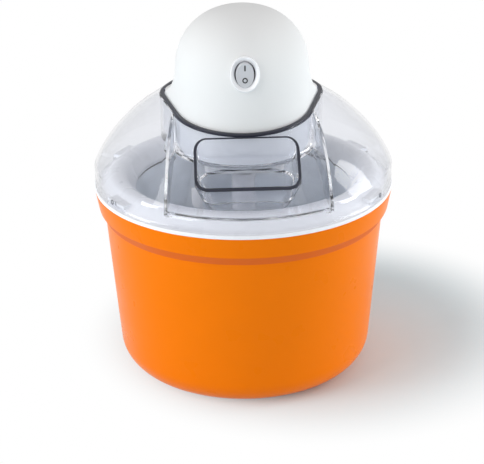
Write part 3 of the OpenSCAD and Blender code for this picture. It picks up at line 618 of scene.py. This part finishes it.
class MAKER_OT_bowl(bpy.types.Operator):
    """Make the freezer bowl's drawn liner and its moulded rim ring"""

    bl_idname = "maker.bowl"
    bl_label = "Freezer bowl"

    def execute(self, context):
        p = context.scene.maker_bowl
        seam, floor_r, floor, crest, t = in_mm(p, "seam_r", "floor_r", "floor_z", "crest_z", "wall")
        rim, flange = 136, 133
        lean = (seam - floor_r) / (rim - floor)
        neck = floor_r + lean * (flange - floor)
        points = [(0, floor), (floor_r, floor), (neck, flange), (neck + 5, flange), (neck + 5, flange - t)]
        points += [(neck - lean * t + t, flange - t), (floor_r + t, floor - t), (0, floor - t)]
        liner = put(turn(points, [(1, 15.5), (2, 0.35), (5, 0.3), (6, 16.5)]), "drawn_liner", 40)
        hand_over(context, liner, "bowl", "aluminium", "bowl_liner")

        top = seam + 12
        # from the seam over the crest and out, the ledge on the bucket's rim and the skirt inside it,
        # and the underside back to the seam
        points = [(seam - 0.4, 134.5), (seam, 136.6), (top - 5.2, crest - 1.0), (top + 3.6, crest - 0.2)]
        points += [(top + 10.9, 139.9), (105, 138.6), (105, rim), (97.2, rim), (97.2, 125), (94.8, 125)]
        points += [(94.8, 139.2), (top + 1.5, crest - 2.4), (top - 2.5, crest - 3.6)]
        points += [(seam + 4.6, 137.4), (seam + 4.6, 134.2), (seam + 0.6, 134.2)]
        soft = [(1, 0.5), (2, 3.6), (3, 3.4), (4, 1.6), (5, 0.7), (6, 0.5), (11, 1.2), (12, 1.2)]
        ring = put(turn(points, soft, closed=True), "rim_ring", 40)
        profile = [(93, 141.4), (100.4, 141.2), (101.9, 141.6), (101.9, 143.6), (93, 143.6)]
        for a in LUGS_AT:
            put(bayonet(profile, a, 10, [(2, 0.4), (3, 0.4)]), "catch", 40, into=ring)
        wear(ring, finish_of(context, "ring_plastic"))
        hand_over(context, ring, "bowl", "white_plastic", "bowl_rim_ring")
        return {"FINISHED"}


def from_front(v):
    """A corner's angle from the front round the upright axis, in degrees."""
    return math.degrees(math.atan2(v.co.x, -v.co.y))


def lid_skin(p):
    """The lid's outer skin as one sheet: skirt, dome, and the side walls and floor of the front recess.
    The turned grid is warped so that one of its columns runs along each side wall."""
    skirt, edge = in_mm(p, "skirt_r", "edge_z")
    inner, outer = WELL_FRONT - SUNK, WELL_BACK - SUNK
    # front edge of the recess floor and its rounding, then the grid: the height that stands for its
    # first ring, its rings from the skirt to the well, and the angle that becomes the recess
    sill, lip = 149.9, 3.4
    shoulder, rings, half = 153.0, 26, 54
    lean = math.atan(RECESS_LEAN)
    offset = (RECESS_X + RECESS_LEAN * RECESS_Y) * math.cos(lean)
    # share of the way to the well that the fine rings at the skirt take up
    fine = 0.05
    first = fine + (1 - fine) / rings

    def dome_z(r):
        radius, middle_r, middle_z = 100, 12.9, 113
        return middle_z + math.sqrt(max(0, radius**2 - (r - middle_r) ** 2))

    def floor_z(r):
        """The recess floor climbs to the chute inside a radius, and rounds down at the skirt."""
        climb, foot_r, run = 16.6, 87, 37
        over = max(0, r - skirt + lip) / lip
        rise = climb * max(0, (foot_r - r) / run) ** 1.08
        return sill + rise - lip * (1 - math.sqrt(max(0, 1 - over**2)))

    def grid(points, keep):
        """A turned sheet without the faces that keep refuses, with its ring numbers still in its heights."""
        bm = turn(points, steps=120)
        gone = [f for f in bm.faces if not keep(f, all(abs(from_front(v)) < half + 0.1 for v in f.verts))]
        bmesh.ops.delete(bm, geom=gone, context="FACES")
        return bm

    def warp(bm, floor):
        """Move each corner from its ring and angle to its place on the dome, or on the floor."""
        for v in bm.verts:
            ring = v.co.z - shoulder
            u = fine + (1 - fine) * ring / rings if ring > 0.99 else first * max(0, ring)
            meet = math.degrees(lean + math.asin(offset / (skirt - u * (skirt - inner))))
            t = abs(from_front(v))
            # past the recess the columns stand closer the nearer they are to the back
            k = (t - half) / (180 - half)
            a = t * meet / half if k <= 0 else meet + (k + 0.35 * k * (1 - k)) * (180 - meet)
            x, y = math.copysign(math.sin(math.radians(a)), v.co.x), -math.cos(math.radians(a))
            reach = well_reach(x, y, inner, outer)
            r = skirt - u * (skirt - reach)
            z = v.co.z
            if floor:
                z = floor_z(r)
            elif ring > -0.5:
                # the dome sinks towards the well and ends just under its edge
                z = dome_z(r) - (dome_z(reach) - edge_height(reach * y, edge) + 0.5) * u**1.2
            v.co = (r * x, r * y, z)

    def on_side(e):
        """Whether an edge of the grid lies where the dome ends over the recess."""
        return all(abs(abs(from_front(v)) - half) < 0.1 and v.co.z > shoulder - 0.1 for v in e.verts)

    share = [(skirt, shoulder + i) for i in (0, 0.15, 0.3, 0.5, 0.7, *range(1, rings + 1))]
    low = [(skirt, 138.9), (skirt, 142.7), (skirt, sill - lip)]
    bm = grid(low + share, lambda f, front: not front or f.calc_center_median().z < sill - lip)
    cut = [e for e in bm.edges if on_side(e)]
    warp(bm, False)
    for v in of_kind(bmesh.ops.extrude_edge_only(bm, edges=cut)["geom"], BMVert):
        v.co.z = floor_z(v.co.xy.length)
    floor = grid(share, lambda f, front: front)
    warp(floor, True)
    append(bm, floor)
    bmesh.ops.remove_doubles(bm, verts=bm.verts, dist=0.02)
    face_out(bm, (0, 1, 0))
    return bm


def well_skin(p):
    """The well as one sheet: an open tube on the plan, its upper end on the sloping edge, with a floor
    that leaves the drive boss free. Its uppermost band is painted dark: painted reflection and shade
    at the clear plastic's edge."""
    edge, well_z, t = in_mm(p, "edge_z", "well_z", "well_wall")
    bm = bmesh.new()
    bmesh.ops.create_circle(bm, cap_ends=False, segments=180, radius=1)
    last = bm.edges[:]
    for v in bm.verts:
        v.co.xy = v.co.xy.normalized() * well_reach(v.co.x, v.co.y, WELL_FRONT, WELL_BACK)
        v.co.z = edge_height(v.co.y, edge)

    def draw(edges):
        """Draw a ring of edges out of the last one, and its corners."""
        drawn = of_kind(bmesh.ops.extrude_edge_only(bm, edges=edges)["geom"], BMEdge)
        return drawn, {v for e in drawn for v in e.verts}

    for share in (0, 0.33, 0.67, 1.0):
        last, corners = draw(last)
        for v in corners:
            top = edge_height(v.co.y, edge) - EDGE_BAND
            v.co.z = top + (well_z - t - top) * share
    last, corners = draw(last)
    boss_x, boss_y = 29, 21
    for v in corners:
        flat = v.co.xy.normalized()
        v.co.xy = flat * min(boss_x / max(abs(flat.x), 1e-6), boss_y / max(abs(flat.y), 1e-6))
    # the uppermost band is painted dark: painted reflection and shade at the clear edge
    for f in bm.faces:
        at = f.calc_center_median()
        f.material_index = int(at.z > edge_height(at.y, edge) - EDGE_BAND)
    face_out(bm, (0, 1, 0))
    return bm


def chute_walls(inset, top):
    """The chute's walls as an open tube that draws in below its mouth, up to a height given by top(y)."""
    half, front, back = CHUTE_X - inset, CHUTE_FRONT + inset, CHUTE_BACK - inset
    corner, high = CHUTE_CORNER - inset / 2, CHUTE_TOP - CHUTE_THROAT
    middle = (0, (front + back) / 2, (CHUTE_TOP + CHUTE_THROAT) / 2)
    bm = block((2 * half, back - front, high), middle, corner, 8, upright)
    bmesh.ops.delete(bm, geom=[f for f in bm.faces if abs(f.normal.z) > 0.9], context="FACES")
    bmesh.ops.subdivide_edges(bm, edges=[e for e in bm.edges if upright(e)], cuts=7, use_grid_fill=False)
    for v in bm.verts:
        share = (v.co.z - CHUTE_THROAT) / high
        v.co.z = CHUTE_THROAT + share * (top(v.co.y) - CHUTE_THROAT)
        inward = CHUTE_DRAW * max(0, (CHUTE_MOUTH - v.co.z) / (CHUTE_MOUTH - CHUTE_THROAT))
        v.co.x -= math.copysign(inward, v.co.x) * min(1, abs(v.co.x) / (half - corner))
        v.co.y += inward * min(1, max(0, (front + 2 * corner - v.co.y) / corner))
    face_out(bm, (0, -1, 0))
    return bm


def chute_skin():
    """The chute below its sloping mouth, whose rim is painted dark: painted reflection and shade at the
    clear edge.
    """
    slope = (CHUTE_MOUTH_BACK - CHUTE_MOUTH) / (CHUTE_BACK - CHUTE_FRONT)

    def mouth_z(y):
        return CHUTE_MOUTH + slope * (y - CHUTE_FRONT)

    def band(y):
        """Height of the rim's painted dark edge, deeper at the front."""
        return 0.6 + 1.0 * (CHUTE_BACK - y) / (CHUTE_BACK - CHUTE_FRONT)

    bm = chute_walls(0, lambda y: mouth_z(y) - band(y))
    mouth = [e for e in bm.edges if e.is_boundary and e.verts[0].co.z > CHUTE_MOUTH - 3]
    rim = bmesh.ops.extrude_edge_only(bm, edges=mouth)["geom"]
    for v in of_kind(rim, BMVert):
        v.co.z = mouth_z(v.co.y)
    # the rim is painted dark: painted reflection and shade at the clear edge
    for f in of_kind(rim, BMFace):
        f.material_index = 1
    return bm


def ring_mark(inner=1.15, outer=1.7):
    """A small flat ring that stands upright and faces the front."""
    mark = turn([(inner, -0.15), (outer, -0.15), (outer, 0.15), (inner, 0.15)], closed=True, steps=40)
    swing(mark, 90, "X")
    return mark


def bar_mark():
    """A short bar beside the ring."""
    return block((0.5, 0.3, 3), (5, 0.1, 0.6), 0.1, 1)


class MAKER_OT_lid(bpy.types.Operator):
    """Make the clear lid: skirt, dome, front recess, well for the head, feed chute and bayonet lugs"""

    bl_idname = "maker.lid"
    bl_label = "Clear lid"

    def execute(self, context):
        p = context.scene.maker_lid
        wall, skirt = in_mm(p, "wall", "skirt_r")
        # edges is the clear plastic painted dark for the reflection and shade at its edges
        walls, edges = finish_of(context, "clear_plastic"), finish_of(context, "clear_painted_edge")
        lid = put(lid_skin(p), "clear_lid")
        thicken(lid, p.wall)
        ease(lid, 0.5, 3, 30)
        well = put(well_skin(p), "well")
        thicken(well, p.well_wall)
        ease(well, 0.45, 2, 60)
        chute = put(chute_skin(), "chute")
        thicken(chute, p.wall)
        ease(chute, 0.4, 2, 60)
        for piece in (lid, well, chute):
            wear(piece, walls, edges)
            settle(piece)

        # opening in the recess floor under the chute
        hole = chute_walls(wall / 2, lambda y: 200)
        close(hole)
        face_out(hole, (0, -1, 0))
        combine(lid, [put(hole, "hole")], "DIFFERENCE")
        profile = [(100.5, 139.2), (103.5, 139.2), (103.5, 141.2), (100.5, 141.2)]
        lugs = [put(bayonet(profile, a, 8), "lug") for a in LUGS_AT]
        combine(lid, [well, chute, *lugs], "UNION")
        hand_over(context, lid, "lid", "clear_plastic", "lid")

        # a ring, and on the left a bar, moulded on the skirt over a front lug
        marks = bmesh.new()
        for a, make in ((-60.8, ring_mark), (-60.8, bar_mark), (60.8, ring_mark)):
            mark = make()
            move(mark, (0, -skirt, 143.3))
            swing(mark, a)
            append(marks, mark)
        # the marks are painted dark like the edges: painted reflection and shade in the clear plastic
        marks = wear(put(marks, "lock_marks", 40), edges)
        hand_over(context, marks, "lid", "clear_plastic")
        return {"FINISHED"}


class MAKER_OT_paddle(bpy.types.Operator):
    """Make the moulded paddle: flared stem and two scraper arms with uprights"""

    bl_idname = "maker.paddle"
    bl_label = "Paddle"

    def execute(self, context):
        points = [(0, 26.4), (7, 26.4), (7.2, 108), (8.2, 112), (8.2, 138.5)]
        points += [(9.5, 144.5), (7.2, 144.5), (6.4, 142.6), (0, 142.6)]
        stem = turn(points, [(1, 0.8), (2, 1.5), (3, 1.5), (4, 1.4), (5, 0.5), (6, 0.5)], steps=64)
        paddle = put(stem, "moulded_paddle", 40)
        # the left arm's upright is the taller one
        for side, tall in ((-1, 131), (1, 102)):
            arm = [(0, 27), (53.2, 27), (66.9, 43), (70.7, 94), (61.7, 94), (55.9, 51), (45.2, 43), (0, 39)]
            rib = [(0, 62), (60.9, 78), (62.9, 84), (0, 72)]
            post = [(29, 30), (37, 30), (37, tall), (33, tall), (29, tall - 5)]
            for outline in (arm, rib, post):
                bar = prism([(side * x, z) for x, z in outline], -1.5, 1.5, 0.7)
                put(bar, "arm", 40, into=paddle)
        hand_over(context, paddle, "mixer", "white_plastic", "paddle")
        return {"FINISHED"}


# exponent of the dome's superellipse
DOME_ROUND = 2.2


def dome_r(p, z):
    """Radius of the head's domed front at a height: a superellipse over an upright wall."""
    radius, low, high = in_mm(p, "radius", "dome_z", "dome_h")
    return radius * (1 - (max(0, z - low) / high) ** DOME_ROUND) ** (1 / DOME_ROUND)


def face_place(p):
    """Where the switch sits: on the dome's front, leaning back with it, its outward way along -Y."""
    z = p.switch_z / MM
    lean = math.atan((dome_r(p, z - 1) - dome_r(p, z + 1)) / 2)
    return Matrix.Translation((0, -dome_r(p, z), z)) @ Matrix.Rotation(-lean, 4, "X")


def shell_skin(p):
    """The head's outer skin: an upright wall that flares out to the back, under the dome."""
    tail, dome_z, dome_h = in_mm(p, "tail_r", "dome_z", "dome_h")
    flare, flare_h, top = 224, 25, dome_z + dome_h
    waist = dome_r(p, flare)
    points = [(tail, 170.5), (tail, 184), (tail, 199)]
    for a in (math.radians(i) for i in range(6, 91, 6)):
        points.append((tail - (tail - waist) * math.sin(a), flare - flare_h * math.cos(a)))
    for a in (math.radians(i) for i in range(4, 90, 3)):
        z = flare + (top - flare) * math.sin(a)
        points.append((dome_r(p, z), z))
    bm = turn([*points, (0, top)], steps=192)
    for v in bm.verts:
        if v.co.z < flare:
            flat = v.co.xy.length
            v.co.xy *= min(flat, well_reach(v.co.x, v.co.y, dome_r(p, v.co.z), tail)) / flat
    face_out(bm, (0, 0, 1))
    return bm


class MAKER_OT_head(bpy.types.Operator):
    """Make the motor head's domed shell with its flared back, and the base with the drive boss"""

    bl_idname = "maker.head"
    bl_label = "Motor head"

    def execute(self, context):
        p = context.scene.maker_head
        shell = put(shell_skin(p), "domed_shell")
        thicken(shell, p.wall, even=False)
        settle(shell)
        holes = []
        # openings for the switch, and for the cord's bush at the back
        for place, x, z in ((face_place(p), 9.2, 11.4), (Matrix.Translation((0, 50, CORD_Z)), 6, 6)):
            bm = bmesh.new()
            bmesh.ops.create_cone(bm, cap_ends=True, segments=64, radius1=1, radius2=1, depth=24)
            swing(bm, 90, "X")
            stretch(bm, (x, 1, z))
            bmesh.ops.transform(bm, matrix=place, verts=bm.verts)
            holes.append(put(bm, "hole"))
        combine(shell, holes, "DIFFERENCE")
        hand_over(context, shell, "head", "white_plastic", "head_shell")

        # base plate on the plan, with the rounded drive boss below it
        radius, tail = in_mm(p, "radius", "tail_r")
        bm = bmesh.new()
        bmesh.ops.create_circle(bm, cap_ends=True, segments=180, radius=1)
        for v in bm.verts:
            v.co.xy = v.co.xy.normalized() * well_reach(v.co.x, v.co.y, radius, tail)
            v.co.z = BASE_Z
        grown = bmesh.ops.extrude_face_region(bm, geom=bm.faces[:])["geom"]
        bmesh.ops.translate(bm, vec=(0, 0, 4), verts=of_kind(grown, BMVert))
        bmesh.ops.recalc_face_normals(bm, faces=bm.faces)
        base = put(bm, "head_base_plate")
        boss = block((56, 40, 19), (0, 0, 158.5), 4.5, 6, upright)
        round_off(boss, [e for e in boss.edges if all(v.co.z < 150 for v in e.verts)], 1.6, 4)
        bore = turn([(0, 140), (8.6, 140), (8.6, 151.4), (7, 151.4), (7, 175), (0, 175)], steps=64)
        combine(base, [put(boss, "boss")], "UNION")
        combine(base, [put(bore, "bore")], "DIFFERENCE")
        profile = [(0, 170), (4, 170), (4, 194), (1.5, 194), (1.5, 186), (0, 186)]
        for x, y in ((-30, 8), (0, -36.2), (26, 31)):
            pillar = turn(profile, [(2, 0.3)], steps=32)
            move(pillar, (x, y, 0))
            put(pillar, "pillar", into=base)
        hand_over(context, base, "head", "white_plastic", "head_base")
        return {"FINISHED"}


class MAKER_OT_switch(bpy.types.Operator):
    """Make the oval rocker switch: dished bezel, rocker and its two printed marks"""

    bl_idname = "maker.switch"
    bl_label = "Switch"

    def execute(self, context):
        # each piece is turned as a disc on the XY plane, stood upright and set in the leaning face
        face = face_place(context.scene.maker_head)
        points = [(0.7, -1.9), (0.7, -0.5), (0.79, 0.7), (0.9, 1.75), (0.95, 1.9)]
        points += [(1.0, 1.1), (1.0, -2.3), (0.9, -2.3)]
        bezel = turn(points, [(1, 0.05), (2, 0.05), (4, 0.03), (5, 0.03)], closed=True, steps=96)
        stretch(bezel, (10, 12.2, 1))
        swing(bezel, 90, "X")
        bmesh.ops.transform(bezel, matrix=face, verts=bezel.verts)
        hand_over(context, put(bezel, "bezel_ring", 50), "head", "white_plastic", "switch_bezel")

        # the lower half is pressed in: the rocker turns on a pin behind the face
        seat = face @ Matrix.Translation((0, 3.9, 0)) @ Matrix.Rotation(math.radians(8), 4, "X")
        valley_r, valley_y, sweep, back = 28, 4.8, 10.2, 6

        def valley(z):
            """Depth of the curved valley's surface in front of the pin."""
            return valley_y + valley_r - math.sqrt(valley_r**2 - z**2)

        points = [(r, 0) for r in (0, 0.2, 0.4, 0.6, 0.8, 0.93)]
        bm = turn([*points, (1, -0.7), (1, -5), (1, -8), (0, -8)], [(6, 0.05)])
        stretch(bm, (6.2, 8.7, 1))
        swing(bm, 90, "X")
        for v in bm.verts:
            v.co.y -= valley(v.co.z) if v.co.y < back else valley_y
            # what would reach past the sweep of the rocker is drawn in to it
            over = math.hypot(v.co.y, v.co.z) / sweep
            if over > 1:
                v.co.yz /= over
        bmesh.ops.transform(bm, matrix=seat, verts=bm.verts)
        hand_over(context, put(bm, "rocker_button", 40), "rocker", "grey_plastic", "switch_rocker")

        marks = block((1.0, 0.3, 4.2), (0, 0, 4.9), 0.1, 1)
        append(marks, ring_mark(1.05, 1.85), (0, 0, -3.5))
        for v in marks.verts:
            v.co.y -= valley(v.co.z) - 0.1
        bmesh.ops.transform(marks, matrix=seat, verts=marks.verts)
        ink = wear(put(marks, "switch_marks", 40), finish_of(context, "ink"))
        hand_over(context, ink, "rocker", "black_plastic")
        return {"FINISHED"}


class MAKER_OT_cord_bush(bpy.types.Operator):
    """Make the bush at the back where a mains cord enters"""

    bl_idname = "maker.cord_bush"
    bl_label = "Cord bush"

    def execute(self, context):
        points = [(3.6, 40.4), (5.95, 40.4), (5.95, 49.8), (7.6, 49.8), (7.6, 51.8), (3.6, 51.8)]
        bm = turn(points, [(3, 0.4), (4, 0.7), (5, 0.5)], closed=True, steps=64)
        swing(bm, -90, "X")
        move(bm, (0, 0, CORD_Z))
        hand_over(context, put(bm, "cord_bush", 40), "head", "white_plastic", "cord_gland")
        return {"FINISHED"}


class MAKER_OT_inside(bpy.types.Operator):
    """Give the construction model's own pieces, which are mostly out of sight, their finishes"""

    bl_idname = "maker.inside"
    bl_label = "Inner pieces"

    def execute(self, context):
        slots = {s["node"]: s["material_slot"] for s in frame["record"]["subparts"]}
        for name, obj in frame["nodes"].items():
            if obj.hide_render:
                continue
            obj.data.materials.clear()
            wear(obj, finish_of(context, slots[name]))
        return {"FINISHED"}


# ---------- stage ----------


def seen_ray(t):
    """1 for what is seen straight, through the clear walls or as a reflection, 0 for what only lights."""
    path = add(t, "ShaderNodeLightPath").outputs
    seen = path["Is Camera Ray"]
    for ray in ("Is Transmission Ray", "Is Glossy Ray"):
        seen = add(t, "ShaderNodeMath", links={0: seen, 1: path[ray]}, operation="MAXIMUM").outputs["Value"]
    return seen


def light_room(scene, p):
    """A white room, seen at full strength, that lights the object less from overhead."""
    world = bpy.data.worlds.new("White room")
    scene.world = world
    world.use_nodes = True
    t = world.node_tree
    t.nodes.clear()
    place = add(t, "ShaderNodeTexCoord").outputs["Generated"]
    way = add(t, "ShaderNodeSeparateXYZ", links={"Vector": place})
    room = add(
        t,
        "ShaderNodeMapRange",
        {"From Max": 1.0, "To Min": p.room, "To Max": p.room * 0.35},
        {"Value": way.outputs["Z"]},
    )
    power = add(
        t, "ShaderNodeMapRange", {"To Max": 1.0}, {"Value": seen_ray(t), "To Min": room.outputs["Result"]}
    )
    glow = add(t, "ShaderNodeBackground", {"Color": (1, 1, 1, 1)}, {"Strength": power.outputs["Result"]})
    add(t, "ShaderNodeOutputWorld", links={"Surface": glow.outputs["Background"]})


def floor_paint(p):
    """Painted board that turns to plain white away from the object."""
    m, t, place = start("Painted board, white")
    grain = add(t, "ShaderNodeTexNoise", {"Scale": 60.0, "Detail": 3.0}, {"Vector": place})
    tones = [(0.3, tinted(p.floor, 0.99)), (0.7, tinted(p.floor, 1))]
    tone = add(t, "ShaderNodeValToRGB", links={"Fac": grain.outputs["Fac"]}, stops=tones)
    board = add(t, "ShaderNodeBsdfDiffuse", links={"Color": tone.outputs["Color"]})
    away = add(t, "ShaderNodeVectorMath", {1: (0.06, 0.04, 0)}, {0: place}, operation="DISTANCE")
    fade = add(
        t,
        "ShaderNodeMapRange",
        {"From Min": 0.095, "From Max": 0.185},
        {"Value": away.outputs["Value"]},
        interpolation_type="SMOOTHSTEP",
    )
    share = add(t, "ShaderNodeMath", links={0: fade.outputs["Result"], 1: seen_ray(t)}, operation="MULTIPLY")
    white = add(t, "ShaderNodeEmission", {"Color": (1, 1, 1, 1), "Strength": 1.0})
    both = add(
        t,
        "ShaderNodeMixShader",
        links={0: share.outputs["Value"], 1: board.outputs["BSDF"], 2: white.outputs["Emission"]},
    )
    add(t, "ShaderNodeOutputMaterial", links={"Surface": both.outputs["Shader"]})
    return m


def hang_lamps(scene, p):
    """Two softboxes, and two low lamps that only fill: they don't show as windows in the lid."""
    object_z, foot_z = 0.12, 0.06
    lamps = [
        # name, place, height aimed at, width, height, power, shows in reflections
        ("softbox_left", (-1.1, -0.75, 0.95), object_z, 0.9, 1.2, p.key, True),
        ("softbox_right", (1.25, 0.1, 0.5), object_z, 0.5, 1.2, p.fill, True),
        ("low_left", (-0.85, -0.3, 0.07), foot_z, 0.3, 0.12, p.key * 0.18, False),
        ("low_right", (0.85, -0.2, 0.07), foot_z, 0.3, 0.12, p.key * 0.17, False),
    ]
    for name, at, aim, width, height, power, shows in lamps:
        lamp = bpy.data.lights.new(name, "AREA")
        lamp.shape = "RECTANGLE"
        lamp.size = width
        lamp.size_y = height
        lamp.energy = power
        obj = bpy.data.objects.new(name, lamp)
        obj.location = at
        obj.visible_glossy = shows
        obj.rotation_euler = (Vector((0, 0, aim)) - Vector(at)).to_track_quat("-Z", "Y").to_euler()
        scene.collection.objects.link(obj)


def set_camera(scene):
    """A long lens in front and above, a little to one side, that looks down at the object."""
    lens = bpy.data.cameras.new("camera")
    lens.lens = 125.73
    lens.sensor_width = 36
    lens.clip_start = 0.05
    lens.clip_end = 20
    camera = bpy.data.objects.new("camera", lens)
    around = Matrix.Rotation(math.radians(-2.3), 4, "Z")
    pan = Matrix.Rotation(math.radians(0.073), 4, "Z")
    tilt = Matrix.Rotation(math.radians(90 - 23.295), 4, "X")
    roll = Matrix.Rotation(math.radians(-0.676), 4, "Z")
    camera.location = around @ Vector((0, -1.11597, 0.57717))
    camera.rotation_euler = (around @ pan @ tilt @ roll).to_euler()
    scene.collection.objects.link(camera)
    scene.camera = camera


class MAKER_OT_stage(bpy.types.Operator):
    """Lay the pale floor, hang the studio lights and set the camera"""

    bl_idname = "maker.stage"
    bl_label = "Stage"

    def execute(self, context):
        scene, p = context.scene, context.scene.maker_stage
        scene.view_settings.view_transform = "Standard"
        # the clear walls stand one behind another, and light has to reach through them all
        bounces = 24
        scene.cycles.max_bounces = bounces
        scene.cycles.transmission_bounces = bounces
        scene.cycles.glossy_bounces = bounces
        scene.cycles.transparent_max_bounces = 40
        light_room(scene, p)
        bm = bmesh.new()
        bmesh.ops.create_grid(bm, x_segments=1, y_segments=1, size=6000)
        wear(put(bm, "floor"), floor_paint(p))
        hang_lamps(scene, p)
        set_camera(scene)
        return {"FINISHED"}


# ---------- panel and registration ----------

PARTS = (
    MAKER_OT_bucket,
    MAKER_OT_bowl,
    MAKER_OT_paddle,
    MAKER_OT_head,
    MAKER_OT_switch,
    MAKER_OT_cord_bush,
    MAKER_OT_lid,
    MAKER_OT_inside,
    MAKER_OT_stage,
)
GROUPS = {
    "maker_bucket": BucketSizes,
    "maker_bowl": BowlSizes,
    "maker_lid": LidSizes,
    "maker_head": HeadSizes,
    "maker_stage": StageSizes,
}


class MAKER_PT_panel(bpy.types.Panel):
    """Lists the ice cream maker's pieces with their sizes and colours"""

    bl_label = "Ice cream maker"
    bl_idname = "MAKER_PT_panel"
    bl_space_type = "VIEW_3D"
    bl_region_type = "UI"
    bl_category = "Ice cream maker"

    def draw(self, context):
        for name, group in GROUPS.items():
            box = self.layout.box()
            for field in group.__annotations__:
                box.prop(getattr(context.scene, name), field)
        for part in PARTS:
            self.layout.operator(part.bl_idname)


def register():
    for cls in (*GROUPS.values(), *PARTS, MAKER_PT_panel):
        bpy.utils.register_class(cls)
    for name, group in GROUPS.items():
        setattr(bpy.types.Scene, name, PointerProperty(type=group))


def unregister():
    for name in GROUPS:
        delattr(bpy.types.Scene, name)
    for cls in (MAKER_PT_panel, *reversed(PARTS), *reversed(GROUPS.values())):
        bpy.utils.unregister_class(cls)


def main():
    register()
    for part in PARTS:
        family, name = part.bl_idname.split(".")
        getattr(getattr(bpy.ops, family), name)()


if __name__ == "__main__":
    main()
